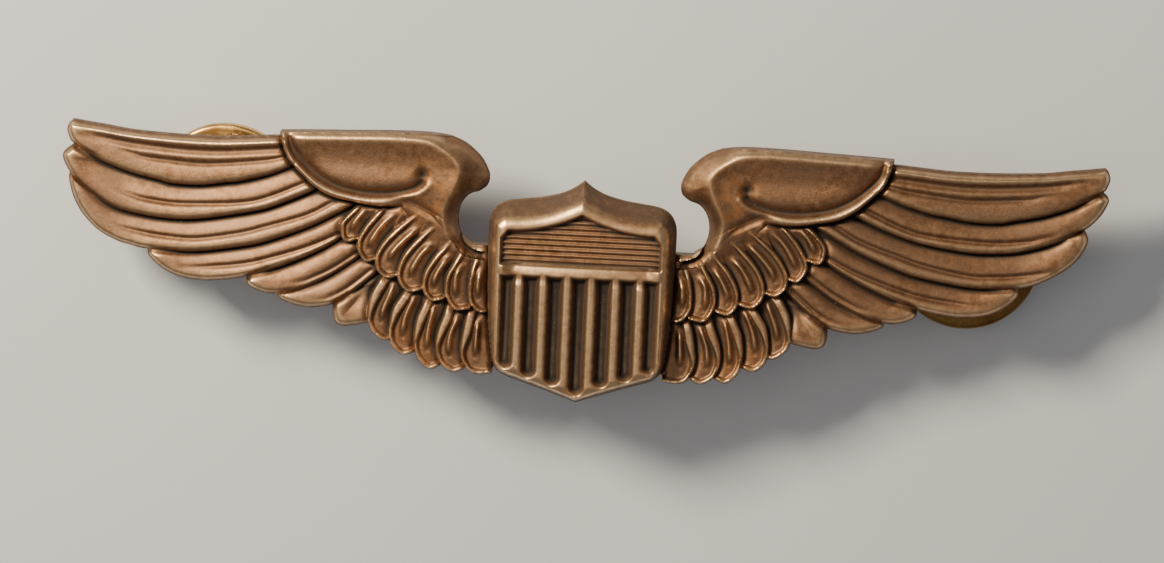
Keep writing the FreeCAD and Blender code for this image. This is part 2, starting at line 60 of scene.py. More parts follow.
VIEW_WIDTH = 84.25 * MM
VIEW_DISTANCE = 0.42
TILT_TO_TOP = math.radians(9)
TILT_TO_RIGHT = math.radians(2.3)
ROLL = math.radians(2.45)
VIEW_CENTRE = Vector((0.1, -0.68, 9.6)) * MM
SENSOR_WIDTH = 36.0
LIT_POINT = Vector((0, 0, 8)) * MM
FLOOR_COLOUR = (0.63, 0.68, 0.77, 1)
FLOOR_ROUGHNESS = 0.75
SURROUND_COLOUR = (0.9, 0.84, 0.78, 1)
SURROUND_STRENGTH = 0.26
# name, place and size in millimetres, power in watts, colour
LIGHTS = [
    ("key", (-130, 118, 180), (60, 60), 1.05, (1.0, 0.85, 0.6)),
    ("fill", (-55, 45, 330), (200, 160), 0.13, (1.0, 0.89, 0.72)),
]


def make_camera():
    """A long lens above the badge, a little towards its top edge and its right wing."""
    data = bpy.data.cameras.new("view")
    camera = bpy.data.objects.new("view", data)
    bpy.context.scene.collection.objects.link(camera)
    data.sensor_width = SENSOR_WIDTH
    data.lens = SENSOR_WIDTH * VIEW_DISTANCE / VIEW_WIDTH
    data.clip_start = 0.01
    toward = Vector((math.tan(TILT_TO_RIGHT), math.tan(TILT_TO_TOP), 1.0)).normalized()
    up = Vector((-math.sin(ROLL), math.cos(ROLL), 0.0))
    right = up.cross(toward).normalized()
    up = toward.cross(right).normalized()
    turn = Matrix((right, up, toward)).transposed().to_4x4()
    camera.matrix_world = Matrix.Translation(VIEW_CENTRE + toward * VIEW_DISTANCE) @ turn
    bpy.context.scene.camera = camera


def area_light(name, place, size, power, colour):
    """A soft box that faces the badge. Place and size are in millimetres."""
    data = bpy.data.lights.new(name, "AREA")
    data.shape = "RECTANGLE"
    data.size, data.size_y = size[0] * MM, size[1] * MM
    data.energy = power
    data.color = colour
    lamp = bpy.data.objects.new(name, data)
    lamp.location = Vector(place) * MM
    aim = LIT_POINT - lamp.location
    lamp.rotation_euler = aim.to_track_quat("-Z", "Y").to_euler()
    bpy.context.scene.collection.objects.link(lamp)


def make_stage():
    """A plain pale floor under the clutches, soft boxes and a dim even surround."""
    bpy.ops.mesh.primitive_plane_add(size=2.0, location=(0, 0, 0))
    floor = bpy.context.object
    floor.name = "floor"
    material = bpy.data.materials.new("floor")
    material.use_nodes = True
    shader = material.node_tree.nodes["Principled BSDF"]
    shader.inputs["Base Color"].default_value = FLOOR_COLOUR
    shader.inputs["Roughness"].default_value = FLOOR_ROUGHNESS
    floor.data.materials.append(material)
    for light in LIGHTS:
        area_light(*light)
    world = bpy.data.worlds.new("studio")
    world.use_nodes = True
    background = world.node_tree.nodes["Background"]
    background.inputs["Color"].default_value = SURROUND_COLOUR
    background.inputs["Strength"].default_value = SURROUND_STRENGTH
    bpy.context.scene.world = world


# ---------------------------------------------------------------- curves and distances, in millimetres


def through(points, steps=8):
    """A smooth chain of short straight steps through the points."""
    knots = np.array(points, dtype=float)
    if len(knots) < 3:
        return knots
    padded = np.vstack([2 * knots[0] - knots[1], knots, 2 * knots[-1] - knots[-2]])
    part = np.linspace(0, 1, steps, endpoint=False)[:, None]
    chain = []
    for before, start, end, after in zip(padded, padded[1:], padded[2:], padded[3:]):
        leave = (end - before) / 2
        arrive = (after - start) / 2
        chain.append(
            (2 * part**3 - 3 * part**2 + 1) * start
            + (part**3 - 2 * part**2 + part) * leave
            + (3 * part**2 - 2 * part**3) * end
            + (part**3 - part**2) * arrive
        )
    chain.append(knots[-1:])
    return np.vstack(chain)


def outline_of(runs):
    """One closed outline from its runs, with corners where the runs meet."""
    return np.vstack([through(run)[:-1] for run in runs])


def distance_to(chain, x, y, reach=None):
    """How far each point is from a chain of straight steps."""
    nearest = np.full(x.shape, 1e9 if reach is None else reach * reach)
    for (x0, y0), (x1, y1) in zip(chain[:-1], chain[1:]):
        along_x, along_y = x1 - x0, y1 - y0
        length = along_x**2 + along_y**2
        if length < 1e-12:
            continue
        share = np.clip(((x - x0) * along_x + (y - y0) * along_y) / length, 0, 1)
        nearest = np.minimum(nearest, (x - x0 - share * along_x) ** 2 + (y - y0 - share * along_y) ** 2)
    return np.sqrt(nearest)


def inside_of(outline, x, y):
    """Whether each point is within a closed outline, by counting crossings."""
    within = np.zeros(x.shape, dtype=bool)
    for (x0, y0), (x1, y1) in zip(outline, np.roll(outline, -1, axis=0)):
        if y0 == y1:
            continue
        crosses = (y0 > y) != (y1 > y)
        within ^= crosses & (x < (x1 - x0) * (y - y0) / (y1 - y0) + x0)
    return within


def depth_in(outline, x, y):
    """Signed distance to a closed outline: positive inside."""
    closed = np.vstack([outline, outline[:1]])
    far = distance_to(closed, x, y)
    return np.where(inside_of(outline, x, y), far, -far)


def away_from(point, x, y):
    """How far each place is from one point."""
    return np.hypot(x - point[0], y - point[1])


def ease(low, high, value):
    """0 below low, 1 above high and smooth between."""
    share = np.clip((value - low) / (high - low), 0, 1)
    return share * share * (3 - 2 * share)


def bump(distance, width):
    """1 on a line and smooth down to 0 on both sides of it."""
    return np.exp(-((distance / width) ** 2))


def ridge(distance, height, width):
    """A rounded ridge along a line. Taken away, it is a groove."""
    return height * bump(distance, width)


# ---------------------------------------------------------------- the relief of one wing
# Points are (outboard, up) from the middle of the badge, as on the right wing.

# The second and third feathers end differently on the two wings.
PRIMARIES = [
    {
        "edge": [
            [
                (19.0, 7.5), (21.5, 6.45), (23, 5.85), (25, 5.3), (26, 5.15), (28, 4.85), (30, 4.85),
                (31, 5.05), (33, 5.45), (35, 6.1), (36, 6.6), (37, 7.1), (37.6, 7.6),
            ],
            [(37.6, 7.6), (37.85, 8.3), (37.75, 8.8), (37.5, 9.1)],
            [
                (37.5, 9.1), (36.3, 8.95), (35, 8.8), (33, 8.55), (30, 8.42), (28, 8.4), (26, 8.45),
                (22.3, 8.75), (19.5, 8.9),
            ],
        ],
        "root": [],
        "shaft": [
            (34.9, 7.35), (33, 6.95), (32, 6.7), (30, 6.55), (28, 6.45), (26, 6.6), (23, 7.0), (21, 7.5),
        ],
    },
    {
        "left": [
            (17, 6.0), (19.5, 4.95), (21, 4.25), (23, 3.4), (25, 2.9), (28, 2.35), (30, 2.25), (32, 2.4),
            (34.1, 2.8), (35.7, 3.65), (37, 4.62), (37.65, 5.35), (38.1, 6.2), (38.05, 6.75), (37.4, 7.3),
        ],
        "right": [
            (17, 6.0), (19.5, 4.95), (21, 4.25), (23, 3.5), (25, 3.0), (28, 2.6), (30, 2.62),
            (31.7, 2.83), (34, 3.5), (36.1, 4.55), (37.2, 5.55), (37.75, 6.5), (37.8, 7.0), (37.3, 7.45),
        ],
        "root": [(34, 6.8), (30, 6.2), (25, 6.6), (18, 7.5)],
        "shaft": [
            (35.3, 4.6), (33, 3.9), (32, 3.65), (30, 3.45), (28, 3.5), (25, 3.75), (23, 4.25), (20, 5.6),
        ],
    },
    {
        "left": [
            (16, 4.3), (18, 3.2), (20, 2.15), (23, 0.95), (25, 0.45), (28, -0.05), (30, -0.1),
            (32, -0.05), (33, 0.15), (34, 0.4), (35.4, 1.1), (36.5, 2.15), (37.15, 3.15), (37.5, 4.1),
            (37.65, 5.1), (37.3, 5.8),
        ],
        "right": [
            (16, 4.3), (18, 3.25), (20, 2.2), (23, 1.0), (25, 0.5), (28, 0.05), (30, 0.03), (32, 0.2),
            (33.7, 0.83), (35.3, 1.88), (36.2, 3.0), (36.5, 3.9), (36.2, 4.6),
        ],
        "root": [(34, 4.2), (30, 3.6), (25, 4.1), (17, 6.6)],
        "shaft": [
            (35.4, 2.3), (34, 1.6), (32, 1.15), (30, 0.95), (28, 0.95), (25, 1.5), (23, 2.1), (20, 3.15),
            (18, 4.3),
        ],
    },
    {
        "edge": [
            [
                (15.5, 2.6), (17, 1.8), (19, 0.55), (21, -0.45), (23, -1.25), (25, -1.85), (27, -2.15),
                (28, -2.15), (29, -2.05), (30, -1.75), (31, -1.15), (31.65, -0.45), (31.7, 0.1),
                (31.5, 0.6),
            ],
        ],
        "root": [(28, 1.2), (25, 1.6), (16.5, 4.8)],
        "shaft": [(30.2, -1.1), (28, -1.15), (25, -0.8), (23, -0.3), (20, 0.75), (17.5, 1.95)],
    },
    {
        "edge": [
            [
                (15, 1.0), (16.3, 0.05), (17, -0.45), (18, -1.15), (19, -1.75), (20, -2.3), (21, -2.65),
                (22, -2.83), (23, -2.83), (24, -2.5), (24.4, -2.05), (24.3, -1.4),
            ],
        ],
        "root": [(20, 1.0), (16, 3.0)],
        "shaft": [(22.4, -2.1), (20.6, -1.85), (19.5, -1.45), (18, -0.65), (16, 0.8)],
    },
    {
        "edge": [
            [
                (14, -0.3), (15.1, -1.15), (16, -1.95), (17, -2.8), (18, -3.4), (19, -3.65), (20, -3.73),
                (21, -3.55), (21.9, -3.2), (22.1, -2.8), (21.9, -2.4),
            ],
        ],
        "root": [(19, -0.6), (15.5, 1.0)],
        "shaft": [(20.3, -3.1), (18.8, -3.0), (17.5, -2.45), (16.5, -1.75), (15.3, -0.7)],
    },
    {
        "edge": [
            [(14.5, -4.5), (15.8, -4.75), (17.1, -4.97), (17.75, -4.75), (18.0, -4.1), (18.0, -3.2)],
        ],
        "root": [(16.5, -2.2), (14.5, -2.0)],
        "shaft": [(14.6, -3.6), (14.4, -3.5)],
    },
]

# Short feathers, each as its edge and its vein.
UPPER_COVERTS = [
    (
        [(16.2, 4.3), (17.0, 3.5), (17.57, 2.75), (17.62, 2.15), (17.43, 1.5), (17.0, 1.31), (16.2, 1.5)],
        [(15.4, 4.2), (16.3, 3.2), (16.7, 2.5), (16.85, 1.95)],
    ),
    (
        [
            (14.6, 4.1), (15.2, 3.4), (15.7, 2.75), (16.24, 1.75), (16.38, 1.05), (16.1, 0.35),
            (15.6, -0.07), (14.8, 0.1),
        ],
        [(13.2, 3.85), (14.1, 3.2), (14.7, 2.55), (15.3, 1.55), (15.55, 0.85)],
    ),
    (
        [
            (12.3, 3.6), (12.8, 3.21), (13.67, 2.45), (14.43, 1.55), (14.9, 0.65), (15.0, -0.05),
            (14.8, -0.69), (14.1, -1.17), (13.2, -1.0),
        ],
        [(11.7, 2.85), (12.8, 1.85), (13.67, 0.85), (14.05, -0.05)],
    ),
    (
        [
            (11.0, 2.8), (11.5, 2.35), (12.33, 1.5), (13.0, 0.55), (13.33, -0.5), (13.29, -1.25),
            (12.9, -1.85), (12.3, -2.12), (11.4, -1.9),
        ],
        [(10.6, 1.75), (11.57, 0.85), (12.24, -0.35), (12.4, -1.1)],
    ),
    (
        [
            (9.7, 1.85), (10.05, 1.4), (10.7, 0.65), (11.3, -0.41), (11.48, -1.25), (11.4, -2.05),
            (11.0, -2.55), (10.6, -2.7), (9.8, -2.5),
        ],
        [(9.4, 0.95), (10.14, -0.05), (10.6, -1.05), (10.6, -1.8)],
    ),
    (
        [
            (8.7, 1.3), (9.3, 0.25), (9.76, -0.69), (9.86, -1.65), (9.7, -2.41), (9.3, -3.05),
            (8.8, -3.27), (7.9, -3.1),
        ],
        [(8.43, 0.35), (9.0, -0.6), (9.05, -1.75), (8.9, -2.4)],
    ),
    (
        [(7.5, 1.2), (7.9, 0.15), (8.1, -0.88), (8.14, -1.85), (7.95, -2.69), (7.3, -3.3), (6.4, -3.3)],
        [(7.2, 0.2), (7.4, -1.05), (7.4, -2.35)],
    ),
]

LOWER_COVERTS = [
    (
        [
            (14.2, -0.7), (14.7, -1.45), (15.2, -2.41), (15.4, -3.45), (15.4, -4.31), (15.2, -5.05),
            (14.7, -5.55), (14.05, -5.85), (13.2, -5.6),
        ],
        [(13.4, -1.2), (13.67, -1.95), (14.24, -3.45), (14.4, -4.5)],
    ),
    (
        [
            (12.4, -1.4), (12.9, -2.22), (13.57, -3.35), (13.8, -4.5), (13.8, -5.45), (13.57, -6.22),
            (12.8, -6.8), (11.9, -6.6),
        ],
        [(11.7, -1.9), (12.1, -2.65), (12.6, -3.85), (12.8, -4.95), (12.8, -5.5)],
    ),
    (
        [
            (11.0, -2.1), (11.4, -2.95), (11.86, -4.15), (12.0, -5.35), (11.95, -6.31), (11.57, -7.15),
            (10.8, -7.75), (10.0, -7.5),
        ],
        [(10.3, -2.6), (10.6, -3.35), (10.9, -4.65), (11.0, -5.85), (10.95, -6.4)],
    ),
    (
        [
            (9.6, -2.7), (9.86, -3.65), (10.24, -4.75), (10.4, -5.85), (10.24, -6.79), (9.86, -7.45),
            (9.0, -7.88), (8.2, -7.6),
        ],
        [(8.7, -3.2), (8.9, -3.95), (9.3, -5.05), (9.4, -6.05), (9.3, -6.7)],
    ),
    (
        [
            (8.1, -3.1), (8.33, -4.15), (8.5, -5.25), (8.57, -6.22), (8.33, -7.15), (7.86, -7.75),
            (7.1, -7.93), (6.2, -7.8),
        ],
        [(7.3, -3.6), (7.4, -5.0), (7.45, -6.7)],
    ),
]

TOP_VALLEY = [
    (36.6, 8.35), (35, 7.98), (33, 7.68), (30, 7.45), (28, 7.4), (26, 7.48), (22.3, 7.85), (19.5, 8.1),
]
UPPER_BED = [
    (5.0, 1.6), (8.0, 1.6), (10.5, 3.4), (13.0, 4.6), (16.0, 4.6), (16.4, 3.2), (14.4, 1.2), (11.0, -0.6),
    (8.0, -1.4), (5.0, -1.4),
]
LOWER_BED = [
    (5.0, -1.4), (8.0, -1.4), (11.0, -0.6), (13.6, 0.6), (14.2, -1.6), (12.6, -3.4), (9.0, -5.0),
    (5.0, -5.2),
]
UPPER_ROOTS = [(14.6, 4.4), (13.0, 4.2), (11.2, 3.6), (9.9, 2.6), (8.7, 1.9), (7.4, 1.5), (6.3, 1.2)]
LOWER_ROOTS = [(12.6, -0.4), (11.2, -1.0), (9.6, -1.8), (8.0, -2.2), (6.2, -2.4)]

SHOULDER_TOP = [
    (22.24, 9.13), (20, 9.25), (17.1, 9.37), (14.8, 9.48), (12.4, 9.54), (10.9, 9.5), (9.8, 9.35),
]
HOOK = [
    (9.8, 9.35), (8.9, 8.98), (8.2, 8.5), (7.5, 7.8), (7.05, 7.0), (6.92, 6.5), (7.06, 5.9), (7.6, 5.45),
]
NOTCH = [
    (7.6, 5.45), (8.3, 5.2), (8.8, 4.65), (9.06, 3.9), (9.06, 3.05), (8.76, 2.15), (8.2, 1.48),
    (7.35, 1.19),
]
NECK_FOOT = [(6.3, 1.1), (6.3, -0.1), (8.0, 0.1), (10.0, 1.3), (12.0, 3.0), (13.2, 4.15)]
SHOULDER_LOW = [
    (13.2, 4.15), (14.8, 4.05), (15.9, 4.15), (17.1, 4.35), (18.3, 4.6), (19.5, 5.19), (20.6, 6.15),
]
SHOULDER_END = [(20.6, 6.15), (21.5, 7.05), (21.95, 8.01), (22.24, 9.13)]
RIM_LINE = [
    (22.0, 8.85), (21.7, 7.55), (20.6, 6.5), (19.5, 5.62), (18.3, 5.03), (17.1, 4.72), (15.7, 4.52),
    (14.2, 4.63), (12.65, 5.01), (11.7, 5.43), (11.3, 5.85),
]
PANEL_GROOVE = [
    (21.5, 8.75), (21.2, 7.9), (20.4, 7.0), (19.5, 6.25), (18.3, 5.6), (17.1, 5.25), (15.35, 5.07),
    (13.6, 5.19), (12.4, 5.55), (11.8, 6.0),
]
DIMPLE = (11.76, 6.6)
FIRST_TIP = (37.6, 8.6)
CREST_LINE = [
    (21.6, 8.8), (17.1, 9.03), (13, 9.1), (11.2, 8.88), (10.06, 8.31), (9.25, 7.55), (9.1, 6.85),
    (9.5, 5.6), (10.06, 4.35), (10.1, 3.45), (9.8, 2.25),
]
WEB = [
    [(0, 5.9), (1.7, 5.1), (3.2, 4.85), (5.2, 4.5), (5.9, 3.9)],
    [(5.9, 3.9), (6.3, 1.1)],
    [(6.3, 1.1), (9.0, 1.5), (12.5, 4.8), (20.5, 7.8)],
    [
        (20.5, 7.8), (18.5, 3.6), (17.6, -0.2), (17.2, -2.4), (15.2, -4.6), (13.2, -5.4), (9.0, -7.1),
        (6.0, -7.4),
    ],
    [(6.0, -7.4), (0, -9.2)],
    [(0, -9.2), (0, 5.9)],
]

# A loop that holds everything on the hook's side of the crest.
PAST_THE_CREST = [(8.6, 0.8), (4.0, 0.0), (3.0, 8.0), (8.0, 12.0), (13.0, 12.0)]

# Heights above the badge's bowed back, in millimetres.
WEB_TOP = 1.2
WEB_GROUND = 1.0
FLOOR_LOW = 0.55
PRIMARY_CREST = 1.72
PRIMARY_STEP = 0.07
LOWER_CREST = 1.5
UPPER_CREST = 1.84
COVERT_RISE = 0.035
PANEL_CREST = 2.3
BOW_RADIUS = 520.0
WING_REACH = 38.15
WING_HALF_HEIGHT = 9.6
GRID = 0.06

# Ridges and grooves as (height, width), and rounded edges as (radius, drop), in millimetres.
FEATHER_EDGE = (0.42, 0.36)
FEATHER_SWELL = (0.04, 0.35)
SHAFT_GROOVE = (0.15, 0.17)
SHAFT_HOLLOW = (0.08, 0.5)
VALLEY_GROOVE = (0.32, 0.3)
FIRST_VANE_FALL = 0.12
VANE_FALL = 0.42
COVERT_EDGE = (0.26, 0.26)
COVERT_RISE_OF_RIM = 0.4
COVERT_RIM_WIDTH = 0.16
COVERT_VEIN = (0.36, 0.23)
PANEL_WAIST = (0.12, 0.9)
SHOULDER_RIM = (0.12, 0.3)
RIM_GROOVE = (0.24, 0.24)
RIM_HOLLOW = (0.2, 0.55)
DIMPLE_HOLLOW = (0.34, 0.36)
CREST_SWELL = (0.12, 0.6)
SHOULDER_EDGE = (0.36, 0.5)
HOOK_DROP = 1.25
PLATE_EDGE = (0.5, 0.34)
BACK_EDGE = (0.45, 0.16)
SEAT_GROOVE = (0.3, 0.22)


def on_axis(node):
    """Where a round node's own upright axis stands, in millimetres."""
    low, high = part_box(node)
    return (low[0] + high[0]) / 2 / MM, (low[1] + high[1]) / 2 / MM


def levels(node):
    """The levels of a node's bottom and top, in millimetres."""
    low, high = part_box(node)
    return low[2] / MM, high[2] / MM


SEAT_HEIGHT = levels("shield")[0]
BACK_HEIGHT = SEAT_HEIGHT - WEB_TOP


class Relief:
    """Heights over a grid, built up by laying one element over another."""

    def __init__(self, x, y, ground):
        self.x, self.y = x, y
        self.height = np.full(x.shape, float(ground))
        self.depth = np.full(x.shape, -9.0)

    def lay(self, outline, surface, soft=0.05, crevice=0.3, reach=0.2, root=None, tip=None):
        """Lays a surface within an outline, with a narrow crevice sunk around it in what lies below.

        An element with a root grows out of what lies below it there, with no edge of its own.
        Towards a tip the crevice closes up.
        """
        low, high = outline.min(axis=0) - 1.2, outline.max(axis=0) + 1.2
        columns = np.flatnonzero((self.x[:, 0] >= low[0]) & (self.x[:, 0] <= high[0]))
        rows = np.flatnonzero((self.y[0] >= low[1]) & (self.y[0] <= high[1]))
        part = np.ix_(columns, rows)
        x, y = self.x[part], self.y[part]
        depth = depth_in(outline, x, y)
        before = self.depth[part]
        grown = 1 if root is None else ease(0.3, 2.3, away_from(root, x, y))
        opened = 1 if tip is None else ease(0.5, 9.0, away_from(tip, x, y))
        sunk = grown * opened * crevice * bump(np.minimum(depth, 0), reach)
        below = np.maximum(self.height[part] - sunk, FLOOR_LOW)
        cover = np.maximum(ease(-soft, soft, depth) * grown, 1 - ease(-2 * GRID, 0, before))
        cover = np.where(depth > -3 * GRID, cover, 0)
        self.height[part] = below * (1 - cover) + surface(x, y, depth) * cover
        self.depth[part] = np.maximum(before, depth)


def round_off(rise, radius, drop):
    """How far a rounded edge has dropped, at a distance in from it."""
    share = 1 - np.clip(rise / radius, 0, 1)
    return drop * share**2.2


def feather_surface(edge, shaft, crest, fall, valley=None):
    """A long feather: a rounded edge, and two smooth vanes with the shaft's fine groove between them."""
    edge_chain = np.vstack([through(run) for run in edge])
    shaft_chain = through(shaft)

    def surface(x, y, depth):
        rise = distance_to(edge_chain, x, y)
        groove = distance_to(shaft_chain, x, y)
        fade = ease(0.3, 4.5, away_from(shaft[0], x, y))
        height = crest - round_off(rise, *FEATHER_EDGE) + ridge(rise - 0.6, *FEATHER_SWELL)
        height = height - fade * (ridge(groove, *SHAFT_GROOVE) + ridge(groove, *SHAFT_HOLLOW))
        if valley is not None:
            line = distance_to(through(valley), x, y)
            height = height - ridge(line, *VALLEY_GROOVE) * ease(0.0, 5.0, away_from(FIRST_TIP, x, y))
        return height - fall * ease(0.9, 2.5, rise)

    return surface


def covert_surface(edge, shaft, crest, broad):
    """A short feather: a rolled rim round its outer side and tip, a hollow vane and a fading vein."""
    edge_chain = through(edge)
    vein_chain = through(shaft)
    tip = edge[-3]

    def surface(x, y, depth):
        rise = distance_to(edge_chain, x, y)
        vein = distance_to(vein_chain, x, y)
        flat = COVERT_RIM_WIDTH + broad * ease(1.2, 3.2, away_from(tip, x, y))
        rim = COVERT_RISE_OF_RIM * ease(flat + 0.3, flat, rise)
        fade = ease(0.0, 0.9, away_from(shaft[-1], x, y)) * ease(0.0, 1.0, away_from(shaft[0], x, y))
        rib = fade * ridge(vein, *COVERT_VEIN)
        vane = crest - COVERT_RISE_OF_RIM
        return vane + np.maximum(rim, rib) + 0.2 * np.minimum(rim, rib) - round_off(rise, *COVERT_EDGE)

    return surface


def shoulder_surface(x, y, depth):
    """The leading edge: a panel in a rolled rim, with a crest that falls away to the hook and neck."""
    hook = distance_to(through(HOOK + NOTCH[1:]), x, y)
    low_edge = distance_to(through(SHOULDER_LOW + SHOULDER_END[1:]), x, y)
    rim = distance_to(through(RIM_LINE), x, y)
    groove = distance_to(through(PANEL_GROOVE), x, y)
    crest = distance_to(through(CREST_LINE), x, y)
    dimple = away_from(DIMPLE, x, y)
    neck = ease(6.2, 2.6, y) * ease(15.0, 12.0, x)
    height = PANEL_CREST - 0.12 - 0.3 * neck
    height = height - ridge(y - 7.2, *PANEL_WAIST) * ease(9.5, 12.0, x)
    height = height + ridge(rim, *SHOULDER_RIM) - ridge(groove, *RIM_GROOVE) - ridge(groove, *RIM_HOLLOW)
    height = height - ridge(dimple, *DIMPLE_HOLLOW) + ridge(crest, *CREST_SWELL)
    height = height - round_off(low_edge, *SHOULDER_EDGE)
    beyond = np.vstack([through(CREST_LINE[2:]), PAST_THE_CREST])
    share = hook / np.maximum(hook + crest, 0.001)
    slope = np.where(inside_of(beyond, x, y), 1 - share, 0)
    return height - HOOK_DROP * slope**1.5


def wing_relief(side):
    """One wing from the middle of the badge outwards, lowest element first."""
    across = np.arange(0, WING_REACH + 3 * GRID, GRID)
    up = np.arange(-WING_HALF_HEIGHT, WING_HALF_HEIGHT + 3 * GRID, GRID)
    x, y = np.meshgrid(across, up, indexing="ij")
    relief = Relief(x, y, WEB_GROUND)
    relief.lay(outline_of(WEB), lambda x, y, depth: np.full(x.shape, WEB_GROUND))
    for index in reversed(range(len(PRIMARIES))):
        feather = PRIMARIES[index]
        edge = feather.get("edge") or [feather[side]]
        root = [edge[-1][-1]] + feather["root"] + [edge[0][0]]
        outline = outline_of(edge + [root])
        crest = PRIMARY_CREST - PRIMARY_STEP * index
        fall = FIRST_VANE_FALL if index == 0 else VANE_FALL
        valley = TOP_VALLEY if index == 0 else None
        surface = feather_surface(edge, feather["shaft"], crest, fall, valley)
        relief.lay(outline, surface, crevice=0.24, reach=0.22, tip=root[0])
    rows = (
        (LOWER_COVERTS, LOWER_ROOTS, LOWER_CREST, LOWER_BED, 0.38),
        (UPPER_COVERTS, UPPER_ROOTS, UPPER_CREST, UPPER_BED, 0.06),
    )
    for coverts, roots, crest, bed, broad in rows:
        bed_height = crest - 0.02
        relief.lay(np.array(bed), lambda x, y, depth: np.full(x.shape, bed_height), soft=0.4, crevice=0)
        for index, ((edge, vein), root) in enumerate(zip(coverts, roots)):
            outline = outline_of([edge, [edge[-1], root], [root, edge[0]]])
            surface = covert_surface(edge, vein, crest + COVERT_RISE * index, broad)
            relief.lay(outline, surface, crevice=0.14, reach=0.26, root=root)
    neck = [NOTCH + NECK_FOOT[:1], NECK_FOOT]
    shoulder = outline_of([SHOULDER_TOP, HOOK, *neck, SHOULDER_LOW, SHOULDER_END])
    before = relief.height.copy()
    relief.lay(shoulder, shoulder_surface, crevice=0.35)
    # The neck runs into the upper coverts with no edge of its own.
    foot = distance_to(through(NECK_FOOT), x, y) * np.where(inside_of(shoulder, x, y), 1, -1)
    kept = 1 - ease(1.7, 0.0, foot) * ease(14.8, 12.2, x) * ease(5.4, 3.6, y)
    relief.height = before * (1 - kept) + relief.height * kept
    relief.height = relief.height - round_off(relief.depth, *PLATE_EDGE)
    seat = depth_in(both_halves(SHIELD_HALF), x, y)
    beside = relief.height - ridge(np.minimum(seat, 0), *SEAT_GROOVE)
    relief.height = np.where(seat > -GRID, WEB_TOP - 0.02, beside)
    return relief


def both_halves(half):
    """A symmetric outline from the runs of its right half, from the top to the bottom."""
    right = np.vstack([through(run) if run is half[-1] else through(run)[:-1] for run in half])
    left = right[1:-1][::-1] * (-1, 1)
    return np.vstack([right, left])


def mirrored(values, sign=1):
    """A half grid with its mirror image joined on at the middle column."""
    return np.vstack([sign * values[:0:-1], values])


def blurred(values, width):
    """Values smoothed over a width in millimetres."""
    count = max(1, int(round(3 * width / GRID)))
    weights = np.exp(-((np.arange(-count, count + 1) * GRID / width) ** 2) / 2)
    weights /= weights.sum()
    for axis in (0, 1):
        pad = [(count, count) if axis == a else (0, 0) for a in (0, 1)]
        wide = np.pad(values, pad, mode="edge")
        places = np.arange(values.shape[axis])
        values = sum(weight * np.take(wide, places + k, axis=axis) for k, weight in enumerate(weights))
    return values


# ---------------------------------------------------------------- materials


class Finish:
    """A short way to write one material's nodes. Patterns are in millimetres on the piece itself."""

    def __init__(self, name):
        self.material = bpy.data.materials.new(name)
        self.material.use_nodes = True
        self.tree = self.material.node_tree
        self.shader = self.tree.nodes["Principled BSDF"]
        places = self.tree.nodes.new("ShaderNodeTexCoord").outputs["Object"]
        self.place = self.stretched(places, (1000, 1000, 1000))

    def node(self, kind, settings, **sockets):
        made = self.tree.nodes.new(kind)
        for setting, value in settings.items():
            setattr(made, setting, value)
        for socket, value in sockets.items():
            self.give(made.inputs[int(socket[1:])] if socket[0] == "n" else made.inputs[socket], value)
        return made

    def give(self, socket, value):
        if isinstance(value, bpy.types.NodeSocket):
            self.tree.links.new(value, socket)
        else:
            socket.default_value = value

    def stretched(self, places, scale, turn=(0, 0, 0)):
        return self.node("ShaderNodeMapping", {}, Vector=places, Rotation=turn, Scale=scale).outputs[0]

    def noise(self, scale, detail=4.0, rough=0.55, places=None):
        sockets = {"Vector": places or self.place, "Scale": scale, "Detail": detail, "Roughness": rough}
        return self.node("ShaderNodeTexNoise", {}, **sockets).outputs[0]

    def span(self, value, low, high, first=0.0, last=1.0):
        """Maps low..high smoothly to first..last."""
        settings = {"interpolation_type": "SMOOTHSTEP"}
        sockets = {"n0": value, "n1": low, "n2": high, "n3": first, "n4": last}
        return self.node("ShaderNodeMapRange", settings, **sockets).outputs[0]

    def maths(self, operation, first, second=0.0, third=0.0):
        settings = {"operation": operation, "use_clamp": operation == "ADD"}
        return self.node("ShaderNodeMath", settings, n0=first, n1=second, n2=third).outputs[0]

    def times(self, *values):
        product = values[0]
        for value in values[1:]:
            product = self.maths("MULTIPLY", product, value)
        return product

    def mix(self, share, first, second):
        """Blends two colours, each a plain (r, g, b) or a node's output."""
        made = self.tree.nodes.new("ShaderNodeMix")
        made.data_type = "RGBA"
        self.give(made.inputs["Factor"], share)
        for socket, colour in ((made.inputs[6], first), (made.inputs[7], second)):
            self.give(socket, colour if isinstance(colour, bpy.types.NodeSocket) else (*colour, 1))
        return made.outputs[2]

    def blend(self, share, first, second):
        """Blends two numbers."""
        made = self.tree.nodes.new("ShaderNodeMix")
        for socket, value in zip(made.inputs[:1] + made.inputs[2:4], (share, first, second)):
            self.give(socket, value)
        return made.outputs[0]

    def scratches(self, scale, turn, width):
        """Fine broken lines that run one way."""
        lines = self.stretched(self.place, (0.02 * scale, scale, scale), (0, 0, math.radians(turn)))
        fine = self.noise(1.0, 3.0, 0.6, lines)
        line = self.span(self.maths("ABSOLUTE", self.maths("SUBTRACT", fine, 0.5)), width, 0.0)
        return self.times(line, self.span(self.noise(0.35 + 0.01 * turn), 0.52, 0.66))

    def bumped(self, height, depth, normal=None):
        """A bump whose full height is depth millimetres."""
        sockets = {"Height": height, "Distance": depth * MM}
        if normal is not None:
            sockets["Normal"] = normal
        return self.node("ShaderNodeBump", {}, **sockets).outputs[0]

    def done(self, colour, roughness, metallic, normal):
        values = {"Base Color": colour, "Roughness": roughness, "Metallic": metallic, "Normal": normal}
        for socket, value in values.items():
            self.give(self.shader.inputs[socket], value)
        return self.material


